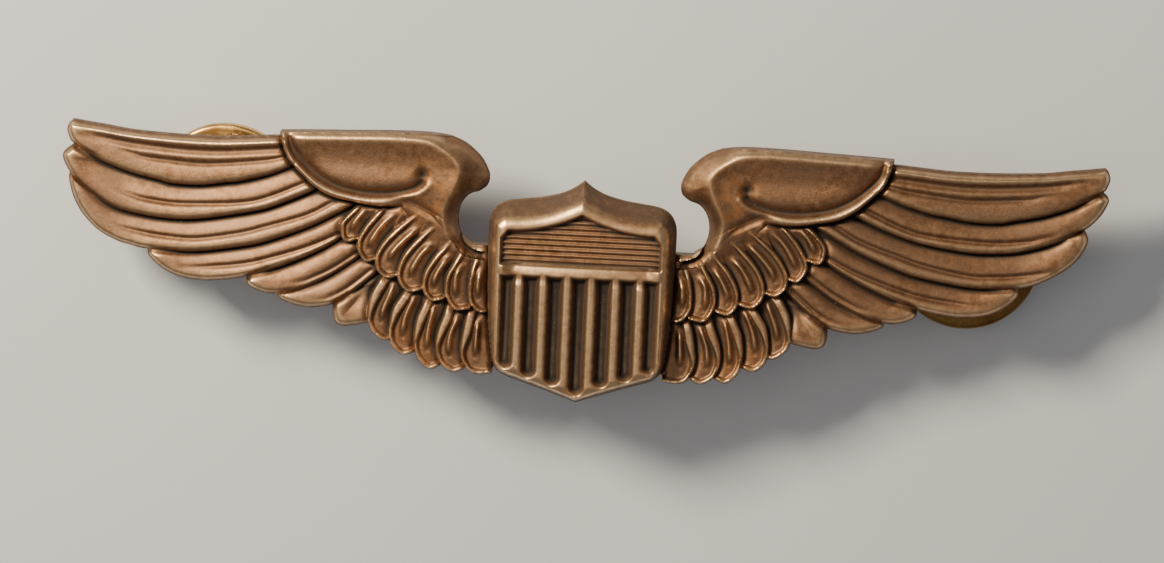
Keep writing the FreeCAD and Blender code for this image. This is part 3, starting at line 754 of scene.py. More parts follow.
# The struck metal's linear colours.
BROWN_DARK = (0.19, 0.104, 0.06)
BROWN_LIGHT = (0.34, 0.196, 0.118)
BROWN_CLOUD = (0.26, 0.155, 0.1)
BROWN_GRAIN = (0.13, 0.062, 0.032)
AMBER = (0.44, 0.2, 0.075)
# Bright colour for rubbed metal on proud parts, and for the painted highlight on the shield's rim and
# crossbar.
RUBBED_AND_HIGHLIGHT = (0.76, 0.52, 0.31)
SCRATCHED = (0.7, 0.5, 0.32)
# Dark colours for real oxide in the hollows, and for painted shade in broad recesses, on the sides and on
# the shield's skirt and sunk walls.
THIN_OXIDE_AND_SHADE = (0.105, 0.07, 0.052)
BLACK_OXIDE_AND_SHADE = (0.03, 0.023, 0.02)
BRIGHT_SPECK = (0.85, 0.75, 0.6)
NECK_STAIN = (11.2, 5.2, 10)


def struck_metal():
    """Old silver gone brown: a warm clouded field, black tarnish and painted shade in the hollows, and
    worn ridges with a painted highlight.
    """
    if "struck_metal" in bpy.data.materials:
        return bpy.data.materials["struck_metal"]
    make = Finish("struck_metal")
    make.give(make.shader.inputs["Specular IOR Level"], 0.2)
    stored = make.node("ShaderNodeAttribute", {"attribute_name": "relief"}).outputs["Color"]
    hollow, proud, deep_shade = make.node("ShaderNodeSeparateColor", {}, Color=stored).outputs
    cloud = make.noise(0.22, 5.0, 0.6)
    mottle = make.noise(1.7, 5.0, 0.62)
    grain = make.noise(11.0, 3.0, 0.6)
    field = make.mix(make.span(mottle, 0.3, 0.7), BROWN_DARK, BROWN_LIGHT)
    field = make.mix(make.span(cloud, 0.42, 0.62), field, BROWN_CLOUD)
    field = make.mix(make.span(grain, 0.62, 0.36, 0.0, 0.35), field, BROWN_GRAIN)
    both_sides = make.node("ShaderNodeVectorMath", {"operation": "ABSOLUTE"}, n0=make.place).outputs[0]
    to_neck = make.node("ShaderNodeVectorMath", {"operation": "DISTANCE"}, n0=both_sides, n1=NECK_STAIN)
    near_neck = make.span(to_neck.outputs["Value"], 3.6, 0.6)
    stain = make.span(make.noise(0.9, 5.0, 0.65), 0.42, 0.62)
    amber = make.times(stain, make.maths("ADD", near_neck, 0.08))
    field = make.mix(make.times(amber, 0.55), field, AMBER)
    # Rubbed bright metal on proud parts, with a painted highlight: the shield's rim top and crossbar are
    # painted bright, most on the left, towards the key light.
    rubbed_and_highlight = make.times(proud, make.span(mottle, 0.25, 0.6, 0.4, 0.9))
    field = make.mix(rubbed_and_highlight, field, RUBBED_AND_HIGHLIGHT)
    lines = make.maths("ADD", make.scratches(9, 20, 0.012), make.scratches(7, -48, 0.01))
    field = make.mix(make.times(lines, 0.06), field, SCRATCHED)
    # Real oxide in the hollows, plus painted shade from the third channel: broad recesses, the outermost
    # edge, the sides, and the shield's skirt and sunk walls are darkened.
    oxide_and_shade = make.maths("ADD", hollow, make.times(deep_shade, make.span(mottle, 0.3, 0.75, 0.75, 0.45)))
    colour = make.mix(make.span(oxide_and_shade, 0.0, 0.5), field, THIN_OXIDE_AND_SHADE)
    colour = make.mix(make.span(oxide_and_shade, 0.4, 1.0), colour, BLACK_OXIDE_AND_SHADE)
    cells = make.node("ShaderNodeTexVoronoi", {}, Vector=make.place, Scale=2.3, Randomness=1.0)
    specks = make.span(cells.outputs["Distance"], 0.075, 0.045)
    speck = make.times(specks, make.span(make.noise(1.3), 0.5, 0.56))
    colour = make.mix(make.times(speck, 0.5), colour, BRIGHT_SPECK)
    roughness = make.blend(make.span(grain, 0.3, 0.7), 0.46, 0.57)
    roughness = make.blend(rubbed_and_highlight, roughness, 0.31)
    roughness = make.blend(oxide_and_shade, roughness, 0.75)
    metallic = make.span(oxide_and_shade, 0.0, 0.7, 1.0, 0.35)
    normal = make.bumped(grain, 0.01)
    normal = make.bumped(mottle, 0.025, normal)
    normal = make.bumped(lines, 0.002, normal)
    return make.done(colour, roughness, metallic, normal)


# Linear colours clean and tarnished, roughness, scale of the tarnish's clouds and strength of its spots.
METALS = {
    "stamped_brass": ((0.66, 0.4, 0.14), (0.34, 0.18, 0.065), 0.32, 0.45, 0.5),
    "drawn_brass": ((0.66, 0.44, 0.18), (0.36, 0.22, 0.09), 0.36, 0.9, 0.5),
    "dull_solder": ((0.56, 0.54, 0.5), (0.3, 0.28, 0.25), 0.52, 1.4, 0.8),
    "spring_steel": ((0.66, 0.62, 0.54), (0.42, 0.36, 0.27), 0.28, 1.1, 0.4),
}


def metal(name):
    """A plain sheet or wire metal with clouded tarnish, fine scratches and small spots.

    The right-hand clutch and post are painted darker than the left-hand ones, more so further out:
    painted shade under the right wing.
    """
    if name in bpy.data.materials:
        return bpy.data.materials[name]
    clean, tarnished, dull, cloud_scale, spots = METALS[name]
    make = Finish(name)
    cloud = make.noise(cloud_scale, 5.0, 0.62)
    grain = make.noise(14.0, 3.0, 0.6)
    colour = make.mix(make.span(cloud, 0.42, 0.68), clean, tarnished)
    spot = make.times(make.span(make.noise(3.1, 4.0, 0.7), 0.6, 0.7), spots)
    colour = make.mix(spot, colour, tuple(0.35 * part for part in tarnished))
    # Painted shade: pieces on the right side are darker, up to 20 mm out.
    rightward = make.node("ShaderNodeSeparateXYZ", {}, Vector=make.place).outputs[0]
    right_shade_colour = tuple(0.3 * part for part in tarnished)
    colour = make.mix(make.span(rightward, 0, 20, 0.0, 0.8), colour, right_shade_colour)
    lines = make.maths("ADD", make.scratches(10, 12, 0.014), make.scratches(8, 65, 0.012))
    colour = make.mix(make.times(lines, 0.45), colour, tuple(min(1, 1.15 * part) for part in clean))
    roughness = make.blend(make.span(cloud, 0.35, 0.7), dull - 0.1, dull + 0.12)
    roughness = make.maths("ADD", roughness, make.times(spot, 0.2))
    normal = make.bumped(lines, 0.008, make.bumped(grain, 0.008))
    return make.done(colour, roughness, 1.0, normal)


# ---------------------------------------------------------------- meshes

WING_TRIANGLES = 190_000
SHIELD_TRIANGLES = 60_000
# The least angles, in degrees, at which an edge stays sharp.
RELIEF_SHARP = 48
TURNED_SHARP = 40
# How far around, in millimetres, a point's height is compared for its tone.
FINE_WIDTH = 0.34
BROAD_WIDTH = 1.0


def sampled(x, y, values, at_x, at_y):
    """A grid's values at any points, by blending the four nearest."""
    step = x[1, 0] - x[0, 0]
    column = np.clip((at_x - x[0, 0]) / step, 0, x.shape[0] - 1.001)
    row = np.clip((at_y - y[0, 0]) / step, 0, x.shape[1] - 1.001)
    i, j = column.astype(int), row.astype(int)
    s, t = column - i, row - j
    return (
        values[i, j] * (1 - s) * (1 - t)
        + values[i + 1, j] * s * (1 - t)
        + values[i, j + 1] * (1 - s) * t
        + values[i + 1, j + 1] * s * t
    )


def directed_edges(faces):
    """Every face's edges in turn, as pairs of points. Faces are rows of three or four points."""
    following = np.roll(faces, -1, axis=1)
    return np.column_stack([faces.T.ravel(), following.T.ravel()])


def rim_edges(quads, triangles, count):
    """The directed edges that only one face has."""
    edges = np.vstack([directed_edges(quads), directed_edges(triangles)])
    forward = edges[:, 0] * count + edges[:, 1]
    backward = edges[:, 1] * count + edges[:, 0]
    return edges[~np.isin(forward, backward)]


def grid_faces(number):
    """Squares and corner triangles over the numbered grid points, as counter-clockwise rows."""
    around = [number[:-1, :-1], number[1:, :-1], number[1:, 1:], number[:-1, 1:]]
    corners = np.stack(around, axis=-1).reshape(-1, 4)
    held = (corners >= 0).sum(axis=1)
    quads = corners[held == 4]
    threes = corners[held == 3]
    triangles = threes[threes >= 0].reshape(-1, 3)
    return quads, triangles


def without_pinches(quads, triangles, count):
    """Drops the faces round any point where the rim meets itself."""
    for _ in range(6):
        rim = rim_edges(quads, triangles, count)
        pinched = np.flatnonzero(np.bincount(rim[:, 0], minlength=count) > 1)
        if not len(pinched):
            break
        quads = quads[~np.isin(quads, pinched).any(axis=1)]
        triangles = triangles[~np.isin(triangles, pinched).any(axis=1)]
    return quads, triangles


def mesh_object(name, points, faces):
    """A smooth mesh object from points in millimetres."""
    mesh = bpy.data.meshes.new(name)
    mesh.from_pydata((np.asarray(points) * MM).tolist(), [], faces)
    mesh.validate()
    mesh.polygons.foreach_set("use_smooth", [True] * len(mesh.polygons))
    item = bpy.data.objects.new(name, mesh)
    bpy.context.scene.collection.objects.link(item)
    return item


def closed_relief(name, x, y, depth, top, back):
    """A closed plate: the relief on top, a back, and a wall that follows the outline exactly."""
    step = x[1, 0] - x[0, 0]
    slope_x, slope_y = np.gradient(depth, step)
    steep = np.maximum(slope_x**2 + slope_y**2, 0.2)
    snap = np.abs(depth) <= 0.5 * step
    at_x = np.where(snap, x - depth * slope_x / steep, x)
    at_y = np.where(snap, y - depth * slope_y / steep, y)
    number = np.full(x.shape, -1)
    kept = depth > -0.5 * step
    number[kept] = np.arange(kept.sum())
    quads, triangles = without_pinches(*grid_faces(number), kept.sum())
    used = np.unique(np.concatenate([quads.ravel(), triangles.ravel()]))
    renumber = np.full(kept.sum(), -1)
    renumber[used] = np.arange(len(used))
    quads, triangles = renumber[quads], renumber[triangles]
    px, py = at_x[kept][used], at_y[kept][used]
    count = len(used)
    inward = np.clip(0.7 * step - sampled(x, y, depth, px, py), 0, step)
    in_x = px + inward * sampled(x, y, slope_x, px, py)
    in_y = py + inward * sampled(x, y, slope_y, px, py)
    front = np.column_stack([px, py, sampled(x, y, top, in_x, in_y)])
    behind = np.column_stack([px, py, sampled(x, y, back, px, py)])
    rim = rim_edges(quads, triangles, count)
    rim_points = rim[:, 0]
    ring = np.full(count, -1)
    ring[rim_points] = np.arange(len(rim_points))
    middle = 0.5 * (front[rim_points] + behind[rim_points])
    lower = 2 * count + ring
    faces = quads.tolist() + triangles.tolist()
    faces += (quads[:, ::-1] + count).tolist() + (triangles[:, ::-1] + count).tolist()
    start, end = rim[:, 0], rim[:, 1]
    faces += np.column_stack([end, start, lower[start], lower[end]]).tolist()
    faces += np.column_stack([lower[end], lower[start], start + count, end + count]).tolist()
    return mesh_object(name, np.vstack([front, behind, middle]), faces)


def modified(item, kind, **settings):
    """Changes a piece's mesh for good with one of Blender's modifiers."""
    modifier = item.modifiers.new(kind.lower(), kind)
    for setting, value in settings.items():
        setattr(modifier, setting, value)
    bpy.context.view_layer.objects.active = item
    item.select_set(True)
    bpy.ops.object.modifier_apply(modifier=modifier.name)
    item.select_set(False)


def thinned(item, triangles):
    """Collapses a mesh to about so many triangles, most of them where the relief is."""
    now = sum(len(face.vertices) - 2 for face in item.data.polygons)
    if now > triangles:
        modified(item, "DECIMATE", ratio=triangles / now)
    item.data.polygons.foreach_set("use_smooth", [True] * len(item.data.polygons))
    item.data.set_sharp_from_angle(angle=math.radians(RELIEF_SHARP))


def points_of(item):
    """A piece's points as rows, in millimetres."""
    places = np.empty(len(item.data.vertices) * 3)
    item.data.vertices.foreach_get("co", places)
    return places.reshape(-1, 3) / MM


def tone_points(item, x, y, height, depth, top, back, shade=0.0, wear_and_highlight=0.0):
    """Stores how hollow, how proud and how low in a broad recess each point of a relief lies, for its
    material.

    The outermost edge and the sides are brown. Shade adds painted shade to the hollows, and the second
    grid adds worn brightness with a painted highlight to the proud parts.
    """
    places = points_of(item)
    fine = height - blurred(height, FINE_WIDTH)
    broad = height - blurred(height, BROAD_WIDTH)
    px, py = places[:, 0], places[:, 1]
    middle = (sampled(x, y, top, px, py) + sampled(x, y, back, px, py)) / 2
    on_front = (places[:, 2] > middle).astype(float)
    within = sampled(x, y, depth, px, py)
    hollow = ease(0.02, 0.3, -sampled(x, y, fine, px, py)) * on_front * ease(0.08, 0.4, within)
    proud = ease(0.02, 0.24, sampled(x, y, fine, px, py)) * on_front
    proud = proud * (0.3 + 0.7 * ease(0.0, 0.3, within))
    # Painted shade in broad recesses, which the material darkens with its oxide colour.
    deep_shade = ease(0.0, 0.6, -sampled(x, y, broad, px, py)) * ease(0.08, 0.4, within)
    # Painted shade from the shade grid, and a painted highlight with worn brightness from the second
    # grid.
    if np.ndim(shade):
        deep_shade = np.maximum(deep_shade, sampled(x, y, shade, px, py))
        proud = np.maximum(proud, sampled(x, y, wear_and_highlight, px, py)) * on_front
    deep_shade = np.maximum(deep_shade, 0.5 * ease(0.12, 0.0, within)) * on_front + 0.45 * (1 - on_front)
    layer = item.data.attributes.new("relief", "FLOAT_COLOR", "POINT")
    layer.data.foreach_set("color", np.column_stack([hollow, proud, deep_shade, on_front]).ravel())


def make_wing_plate():
    right, left = wing_relief("right"), wing_relief("left")
    x = np.vstack([-left.x[:0:-1], right.x])
    y, height, depth = (
        np.vstack([getattr(left, part)[:0:-1], getattr(right, part)]) for part in ("y", "height", "depth")
    )
    bow = BOW_RADIUS - np.sqrt(BOW_RADIUS**2 - x**2)
    back_edge = BACK_EDGE[1] * (1 - ease(0, BACK_EDGE[0], depth))
    top = BACK_HEIGHT + height - bow
    back = BACK_HEIGHT + back_edge - bow
    plate = closed_relief("struck_wing_plate", x, y, depth, top, back)
    thinned(plate, WING_TRIANGLES)
    tone_points(plate, x, y, height, depth, top, back)
    finish_piece(plate, struck_metal(), "badge", "wing_plate")


# ---------------------------------------------------------------- the shield
# Heights and depths are in millimetres; outlines are right halves, from the top to the bottom.

SHIELD_HALF = [
    [
        (0, 6.69), (0.75, 6.12), (1.7, 5.68), (3.0, 5.35), (4.2, 5.18), (5.4, 5.0), (6.2, 4.62),
        (6.65, 3.95), (6.8, 3.1), (6.76, 0.5), (6.62, -3.2), (6.35, -5.6), (6.12, -6.9), (5.75, -7.5),
        (5.1, -7.85),
    ],
    [(5.1, -7.85), (2.6, -8.65), (0, -9.53)],
]
SHIELD_TOP = 2.18
SHIELD_SKIRT = 0.35
SHIELD_CROWN = 0.2
SHIELD_RIDGE = [
    [(0, 5.2), (0.6, 4.93), (1.2, 4.65), (2.2, 4.27), (3.1, 4.04), (4.2, 3.9), (5.1, 3.85), (5.6, 3.8)],
    [
        (5.6, 3.8), (5.95, 3.5), (6.12, 3.0), (6.14, 0.5), (6.08, -3.2), (5.98, -5.6), (5.85, -6.5),
        (5.3, -7.2),
    ],
    [(5.3, -7.2), (2.6, -8.08), (0, -9.0)],
]
CHIEF_HALF = [
    [(0, 4.3), (0.7, 3.98), (1.5, 3.66), (3.0, 3.24), (4.3, 3.05), (5.25, 3.0)],
    [(5.25, 3.0), (5.72, 2.45)],
    [(5.72, 2.45), (5.72, 0.66)],
    [(5.72, 0.66), (0, 0.66)],
]
CHIEF_SINK = 0.55
CHIEF_RIDGE_PITCH = 0.4
STRIPE_MIDDLES = (0, 1.75, 3.5, 5.2)
STRIPE_HALF_WIDTHS = (0.42, 0.42, 0.42, 0.38)
STRIPE_TOP = -0.42
STRIPE_BOTTOMS = (-8.68, -7.98, -7.5, -6.9)
STRIPE_SINK = 0.68
CHIEF_RIDGE_RISE = 0.14
CHIEF_RIDGE_START = 0.95
CROWN_WIDTH = 0.55
BAR_TILT = 0.22
BAR_BEND = 0.007
# Painted shade on the shield's skirt and on the walls of its sunk chief and stripes.
SKIRT_SHADE = 0.55
WALL_SHADE = 0.5
# The painted highlight and its worn brightness are gone at the first place across the shield and full at
# the second, brightest on the left, towards the key light.
HIGHLIGHT_AND_WEAR_FADE = (6.0, -1.5)


def shield_heights(x, y, depth):
    """Heights above the seat, and how shaded and how worn each place is.

    The sides round up to a rim. Inside it are the sunk ridged chief, the crossbar, whose upper side
    and ends slope away, and the sunk stripes. Painted shade is on the sides and the sunk walls, and worn
    brightness with a painted highlight on the rim's upper part and the crossbar.
    """
    inner = depth_in(both_halves(SHIELD_RIDGE), x, y)
    share = np.where(inner > 0, 1, depth / np.maximum(depth - inner, 0.001))
    share = np.clip(share, 0, 1)
    height = SHIELD_SKIRT + (SHIELD_TOP - SHIELD_CROWN - SHIELD_SKIRT) * share * (1.3 - 0.3 * share)
    height = height + SHIELD_CROWN * (1 - (1 - np.clip(inner / CROWN_WIDTH, 0, 1)) ** 2)
    chief = depth_in(both_halves(CHIEF_HALF), x, y)
    ridges = 0.5 + 0.5 * np.cos(2 * math.pi * (y - CHIEF_RIDGE_START) / CHIEF_RIDGE_PITCH)
    height = height - CHIEF_SINK * ease(-0.2, 0.16, chief)
    height = height + CHIEF_RIDGE_RISE * ridges * ease(0.0, 0.16, chief)
    on_bar = ease(5.7, 4.7, x) * ease(0.95, 0.75, y) * ease(-0.9, -0.4, y) * ease(0.1, -0.1, chief)
    height = height - (BAR_TILT * ease(-0.1, 0.66, y) + BAR_BEND * x * x) * on_bar
    walls = bump(chief - 0.12, 0.26)
    for middle, half, bottom in zip(STRIPE_MIDDLES, STRIPE_HALF_WIDTHS, STRIPE_BOTTOMS):
        around = np.hypot(x - middle, np.minimum(y - bottom - half, 0)) - half
        stripe = np.maximum(around, y - STRIPE_TOP)
        height = height - STRIPE_SINK * ease(0.3, -0.26, stripe) - 0.04 * bump(stripe, 0.45)
        walls = np.maximum(walls, bump(stripe + 0.1, 0.28))
    # Painted shade: the skirt and the sunk walls are darkened.
    shade = np.maximum(SKIRT_SHADE * ease(0.05, -0.3, inner), WALL_SHADE * walls)
    # Painted highlight with worn brightness on the rim's upper part and the crossbar.
    wear_and_highlight = np.maximum(bump(inner - 0.2, 0.35) * ease(-2.0, 2.0, y), on_bar * ease(0.0, 0.4, y))
    return height, shade, wear_and_highlight


def make_shield():
    across = np.arange(0, 6.8 + 3 * GRID, GRID)
    up = np.arange(-9.55 - 2 * GRID, 6.7 + 3 * GRID, GRID)
    x, y = np.meshgrid(across, up, indexing="ij")
    depth = depth_in(both_halves(SHIELD_HALF), x, y)
    height, shade, wear_and_highlight = (mirrored(part) for part in shield_heights(x, y, depth))
    x, y, depth = mirrored(x, -1), mirrored(y), mirrored(depth)
    wear_and_highlight = wear_and_highlight * ease(*HIGHLIGHT_AND_WEAR_FADE, x)
    top = SEAT_HEIGHT + height
    back = np.full(x.shape, SEAT_HEIGHT)
    shield = closed_relief("struck_shield", x, y, depth, top, back)
    thinned(shield, SHIELD_TRIANGLES)
    tone_points(shield, x, y, height, depth, top, back, shade, wear_and_highlight)
    finish_piece(shield, struck_metal(), "badge", "shield")


# ---------------------------------------------------------------- turned and stamped pieces


def rounded_profile(corners, longest=0.25):
    """A closed profile from (radius, height, fillet) corners, rounded, with its sides divided."""
    points = []
    for index, (r, z, fillet) in enumerate(corners):
        here = np.array([r, z])
        before = np.array(corners[index - 1][:2])
        after = np.array(corners[(index + 1) % len(corners)][:2])
        if not fillet:
            points.append(here)
            continue
        back, forth = before - here, after - here
        reach = min(fillet, np.linalg.norm(back) / 2.05, np.linalg.norm(forth) / 2.05)
        start = here + back / np.linalg.norm(back) * reach
        end = here + forth / np.linalg.norm(forth) * reach
        for share in np.linspace(0, 1, 6):
            points.append((1 - share) ** 2 * start + 2 * share * (1 - share) * here + share**2 * end)
    divided = []
    for here, after in zip(points, points[1:] + points[:1]):
        steps = max(1, int(math.ceil(np.linalg.norm(after - here) / longest)))
        divided += [here + (after - here) * k / steps for k in range(steps)]
    return [tuple(point) for point in divided]


def lathe(name, corners, axis, segments=128, longest=0.25):
    """Turns a closed profile about an upright axis. All in millimetres."""
    profile = rounded_profile(corners, longest)
    rows = len(profile)
    points = []
    for turn in range(segments):
        angle = 2 * math.pi * turn / segments
        for r, z in profile:
            points.append((axis[0] + r * math.cos(angle), axis[1] + r * math.sin(angle), z))
    faces = []
    for turn in range(segments):
        following = (turn + 1) % segments
        for row in range(rows):
            lower = (row + 1) % rows
            if profile[row][0] < 1e-6 and profile[lower][0] < 1e-6:
                continue
            here, beside = turn * rows, following * rows
            faces.append((here + row, here + lower, beside + lower, beside + row))
    return cleaned(mesh_object(name, points, faces))


def cleaned(item):
    """Joins double points, turns faces outwards and keeps the sharper edges sharp."""
    shape = bmesh.new()
    shape.from_mesh(item.data)
    bmesh.ops.remove_doubles(shape, verts=shape.verts, dist=0.0004 * MM)
    bmesh.ops.dissolve_degenerate(shape, edges=shape.edges, dist=0.0002 * MM)
    loose = [point for point in shape.verts if not point.link_faces]
    bmesh.ops.delete(shape, geom=loose, context="VERTS")
    bmesh.ops.recalc_face_normals(shape, faces=shape.faces)
    for edge in shape.edges:
        edge.smooth = not (edge.is_manifold and edge.calc_face_angle(0) > math.radians(TURNED_SHARP))
    shape.to_mesh(item.data)
    shape.free()
    item.data.polygons.foreach_set("use_smooth", [True] * len(item.data.polygons))
    return item


def cut_by(item, cutter):
    """Takes a cutter's space out of a piece for good."""
    modified(item, "BOOLEAN", operation="DIFFERENCE", solver="EXACT", object=cutter)
    bpy.data.objects.remove(cutter)
    return cleaned(item)


def prism(name, outline, low, high):
    """An upright prism over a flat outline, in millimetres."""
    count = len(outline)
    points = [(px, py, low) for px, py in outline] + [(px, py, high) for px, py in outline]
    faces = [tuple(reversed(range(count))), tuple(range(count, 2 * count))]
    faces += [(k, (k + 1) % count, (k + 1) % count + count, k + count) for k in range(count)]
    return mesh_object(name, points, faces)


def placed(item, axis, turn):
    """Turns a piece made about the upright axis and stands it on a post's axis."""
    move = Matrix.Translation(Vector((axis[0], axis[1], 0)) * MM) @ Matrix.Rotation(turn, 4, "Z")
    item.data.transform(move)
    return item


def shift_points(item, change):
    """Moves every point by a function of its place, in millimetres."""
    item.data.vertices.foreach_set("co", (change(points_of(item)) * MM).ravel())
    item.data.update()


POST_RADIUS = 0.55
NECK_RADIUS = 0.38
FLANGE_RADIUS = 1.6
FLANGE_THICK = 0.4


def make_post(side):
    """A flanged post with a grip neck and a pointed end."""
    node = f"{side}_post"
    axis = on_axis(node)
    tip, top = levels(node)
    under = top - FLANGE_THICK
    corners = [
        (0, tip, 0),
        (0.16, tip + 0.02, 0.1),
        (POST_RADIUS, 1.75, 0.2),
        (POST_RADIUS, 2.6, 0.05),
        (NECK_RADIUS, 2.7, 0.08),
        (NECK_RADIUS, 3.5, 0.08),
        (POST_RADIUS, 3.6, 0.05),
        (POST_RADIUS, under - 0.05, 0.15),
        (POST_RADIUS + 0.2, under, 0.1),
        (FLANGE_RADIUS, under, 0.12),
        (FLANGE_RADIUS, top, 0.05),
        (0, top, 0),
    ]
    post = lathe(f"{side}_wire_post", corners, axis, 64)
    finish_piece(post, metal("drawn_brass"), "badge", node)


def make_solder(side):
    """A dull fillet of solder that has run out round the flange, uneven as hand work is."""
    node = f"{side}_post_solder"
    axis = on_axis(f"{side}_post")
    under, top = levels(node)
    corners = [
        (FLANGE_RADIUS - 0.05, under, 0.05),
        (FLANGE_RADIUS + 0.12, under + 0.02, 0.05),
        (FLANGE_RADIUS + 0.3, under + 0.2, 0.1),
        (2.3, top - 0.12, 0.1),
        (2.3, top, 0.02),
        (FLANGE_RADIUS - 0.05, top, 0.02),
    ]
    solder = lathe(f"{side}_solder_fillet", corners, axis, 96, 0.08)
    outward = 1 if axis[0] > 0 else -1

    def run_out(places):
        along, across = places[:, 0] - axis[0], places[:, 1] - axis[1]
        angle = np.arctan2(across, along)
        far = np.hypot(along, across)
        wave = 1 - 0.06 * (1 + np.sin(2 * angle + 0.7 * outward)) / 2 - 0.04 * (1 + np.sin(5 * angle)) / 2
        share = np.where(far > FLANGE_RADIUS, wave, 1)
        back = BACK_HEIGHT - (BOW_RADIUS - np.sqrt(BOW_RADIUS**2 - (axis[0] + along * share) ** 2))
        upper = ease(under + 0.05, top - 0.1, places[:, 2])
        height = places[:, 2] * (1 - upper) + np.minimum(back + 0.02, top) * upper
        return np.column_stack([axis[0] + along * share, axis[1] + across * share, height])

    shift_points(solder, run_out)
    finish_piece(solder, metal("dull_solder"), "badge", node)


DISC_RADIUS = 5.4
DISC_UNDER = 4.05
DISC_TOP = 4.4
RIM_LOW = 3.45
NIB_COUNT = 6
NIB_CIRCLE = 3.9
NIB_RISE = 0.2
PRESSED_RING = 2.6
RIM_INSIDE = 5.05
CRIMP_RADIUS = 5.0
CAP_RADIUS = 3.9
EYELET_BORE = 0.6
EYELET_BARREL = 1.0
EYELET_FLANGE = 1.5
SHEET = 0.3


def make_clutch_base(side, turn):
    """The thin disc: a rolled rim, a pressed ring and small nibs that grip the cloth."""
    axis = on_axis(f"{side}_clutch_base")
    hole = 1.05
    corners = [
        (hole, DISC_UNDER, 0.05),
        (RIM_INSIDE, DISC_UNDER, 0.1),
        (RIM_INSIDE, RIM_LOW, 0.1),
        (DISC_RADIUS, RIM_LOW, 0.12),
        (DISC_RADIUS, DISC_TOP, 0.32),
        (hole, DISC_TOP, 0.05),
    ]
    disc = lathe(f"{side}_clutch_disc", corners, (0, 0), 192, 0.1)

    def press(places):
        far = np.hypot(places[:, 0], places[:, 1])
        angle = np.arctan2(places[:, 1], places[:, 0])
        sector = 2 * math.pi / NIB_COUNT
        off = (angle + sector / 2) % sector - sector / 2
        nib = np.hypot(far - NIB_CIRCLE, off * NIB_CIRCLE)
        on_top = (places[:, 2] > DISC_TOP - 0.05) & (far < 5.0)
        rise = ridge(nib, NIB_RISE, 0.26) - ridge(far - PRESSED_RING, 0.06, 0.16)
        moved = places.copy()
        moved[:, 2] += np.where(on_top, rise, 0)
        return moved

    shift_points(disc, press)
    placed(disc, axis, turn)
    finish_piece(disc, metal("stamped_brass"), f"{side}_clutch", f"{side}_clutch_base")


def make_clutch_cap(side, turn):
    """The domed housing, crimped under the disc, with a window on each side."""
    axis = on_axis(f"{side}_clutch_cap")
    top = DISC_UNDER - 0.02
    corners = [
        (0, 0, 0),
        (2.75, 0, 0.5),
        (3.62, 0.5, 0.5),
        (CAP_RADIUS, 1.25, 0.5),
        (CAP_RADIUS, top - SHEET, 0.12),
        (CRIMP_RADIUS, top - SHEET, 0.05),
        (CRIMP_RADIUS, top, 0.05),
        (CAP_RADIUS - SHEET, top, 0.12),
        (CAP_RADIUS - SHEET, 1.3, 0.4),
        (3.35, 0.72, 0.4),
        (2.65, SHEET, 0.4),
        (0, SHEET, 0),
    ]
    cap = lathe(f"{side}_clutch_housing", corners, (0, 0), 160, 0.2)
    half = 2.1
    window = [(-7, -half), (7, -half), (7, half), (-7, half)]
    cut_by(cap, prism("cutter", window, 2.55, 3.6))
    placed(cap, axis, turn)
    finish_piece(cap, metal("stamped_brass"), f"{side}_clutch", f"{side}_clutch_cap")


def make_clutch_eyelet(side):
    """The riveted eyelet that guides the post."""
    node = f"{side}_clutch_eyelet"
    axis = on_axis(node)
    bottom, top = levels(node)
    corners = [
        (EYELET_BORE, bottom, 0.05),
        (EYELET_FLANGE, bottom, 0.12),
        (EYELET_FLANGE, DISC_UNDER - 0.02, 0.08),
        (EYELET_BARREL, DISC_UNDER - 0.02, 0.04),
        (EYELET_BARREL, DISC_TOP + 0.02, 0.04),
        (EYELET_FLANGE, DISC_TOP + 0.02, 0.04),
        (EYELET_FLANGE, DISC_TOP + 0.1, 0.06),
        (1.15, top, 0.12),
        (EYELET_BORE, top, 0.1),
    ]
    eyelet = lathe(f"{side}_clutch_bush", corners, axis, 96, 0.1)
    finish_piece(eyelet, metal("stamped_brass"), f"{side}_eyelet", node)


# How far below the bend each rib of a thumb tab is.
TAB_RIBS = (0.7, 1.15, 1.6)


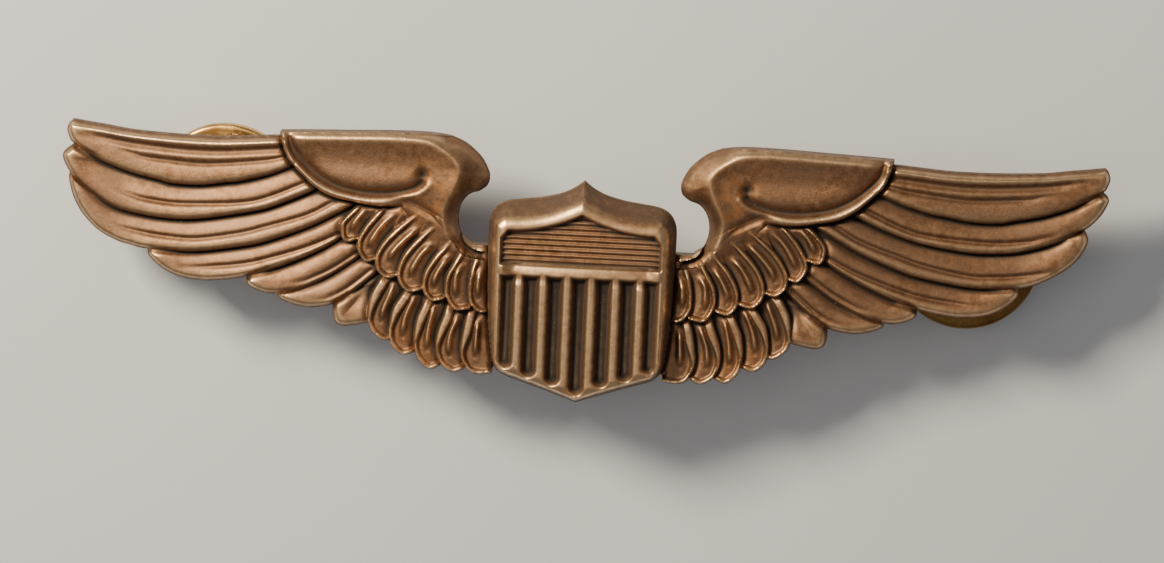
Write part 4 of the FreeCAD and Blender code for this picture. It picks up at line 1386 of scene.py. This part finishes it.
def make_clutch_finger(side, place, turn):
    """One squeeze finger: jaw plate, bend and a ribbed thumb tab, cut from one strip."""
    node = f"{side}_clutch_finger_{place}"
    axis = on_axis(f"{side}_clutch_base")
    bottom, top = levels(node)
    level = top - SHEET / 2
    inner, outer, bend = -1.9, 4.85, 0.4
    flat = outer - bend - inner
    arc = bend * math.pi / 2
    drop = level - bend - bottom
    whole = flat + arc + drop
    steps, across = 96, 28
    points = []
    for step in range(steps + 1):
        run = whole * step / steps
        if run < flat:
            place_u, place_z = inner + run, level
            out_u, out_z = 0.0, 1.0
        elif run < flat + arc:
            angle = (run - flat) / bend
            out_u, out_z = math.sin(angle), math.cos(angle)
            place_u = outer - bend + bend * out_u
            place_z = level - bend + bend * out_z
        else:
            place_u, place_z = outer, level - bend - (run - flat - arc)
            out_u, out_z = 1.0, 0.0
        down = run - flat - arc
        half = 1.8 + 0.3 * ease(flat, flat + arc, run)
        half *= math.sqrt(max(0.02, 1 - max(0, 1 - run / 0.9) ** 2))
        half *= math.sqrt(max(0.05, 1 - max(0, (run - whole + 1.1) / 1.1) ** 2 * 0.85))
        rib = 0.07 * sum(bump(down - rise, 0.13) for rise in TAB_RIBS) if down > 0 else 0
        for k in range(across + 1):
            v = half * (2 * k / across - 1)
            swell = rib * (1 - (abs(v) / half) ** 6)
            points.append((place_u + out_u * swell, v, place_z + out_z * swell))
    width = across + 1
    faces = []
    for step in range(steps):
        for k in range(across):
            first = step * width + k
            faces.append((first, first + width, first + width + 1, first + 1))
    finger = mesh_object(f"{side}_squeeze_{place}", points, faces)
    modified(finger, "SOLIDIFY", thickness=SHEET * MM, offset=0)
    slot_low, slot_high, slot_half = -0.57, 1.17, 0.62
    ends = [(math.cos(a), math.sin(a)) for a in np.linspace(-math.pi / 2, math.pi / 2, 13)]
    slot = [(slot_high - slot_half + slot_half * c, slot_half * s) for c, s in ends]
    slot += [(slot_low + 0.3 - 0.3 * c, -slot_half * s) for c, s in ends]
    cut_by(finger, prism("cutter", slot, level - 1, level + 1))
    placed(finger, axis, turn)
    finish_piece(finger, metal("stamped_brass"), f"{side}_{place}_finger", node)


def tube(name, path, radius, sides=16):
    """A closed round wire along a path of points, in millimetres."""
    path = [Vector(point) for point in path]
    points, faces = [], []
    for index, point in enumerate(path):
        ahead = (path[min(index + 1, len(path) - 1)] - path[max(index - 1, 0)]).normalized()
        side_way = ahead.cross(Vector((0, 0, 1))).normalized()
        up_way = side_way.cross(ahead)
        for k in range(sides):
            angle = 2 * math.pi * k / sides
            points.append(tuple(point + radius * (math.cos(angle) * side_way + math.sin(angle) * up_way)))
    for index in range(len(path) - 1):
        for k in range(sides):
            following = (k + 1) % sides
            first, second = index * sides, (index + 1) * sides
            faces.append((first + k, first + following, second + following, second + k))
    faces.append(tuple(range(sides)))
    faces.append(tuple(reversed(range((len(path) - 1) * sides, len(path) * sides))))
    return cleaned(mesh_object(name, points, faces))


def make_clutch_spring(side, turn):
    """The open wire ring that pushes the fingers apart."""
    axis = on_axis(f"{side}_clutch_base")
    height = sum(levels(f"{side}_clutch_spring")) / 2
    circle, wire = 2.85, 0.2
    start, sweep = math.radians(125), math.radians(290)
    path = []
    for share in np.linspace(0, 1, 73):
        angle = turn + start + sweep * share
        path.append((axis[0] + circle * math.cos(angle), axis[1] + circle * math.sin(angle), height))
    spring = tube(f"{side}_spring_ring", path, wire)
    finish_piece(spring, metal("spring_steel"), f"{side}_clutch", f"{side}_clutch_spring")
    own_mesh(spring)


def finish_piece(item, material, body, node):
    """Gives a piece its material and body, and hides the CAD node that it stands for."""
    item.data.materials.append(material)
    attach(item, body)
    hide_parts(node)


def squeeze_turn(side):
    """The angle, about the post, of the front finger's tab."""
    joint = next(joint for joint in frame["joints"] if joint["name"] == f"{side}_front_squeeze")
    return math.atan2(-joint["axis"][1], -joint["axis"][0])


make_camera()
make_stage()
make_wing_plate()
make_shield()
for side in ("left", "right"):
    turn = squeeze_turn(side)
    make_post(side)
    make_solder(side)
    make_clutch_eyelet(side)
    make_clutch_base(side, turn)
    make_clutch_cap(side, turn)
    make_clutch_spring(side, turn)
    make_clutch_finger(side, "front", turn)
    make_clutch_finger(side, "rear", turn + math.pi)
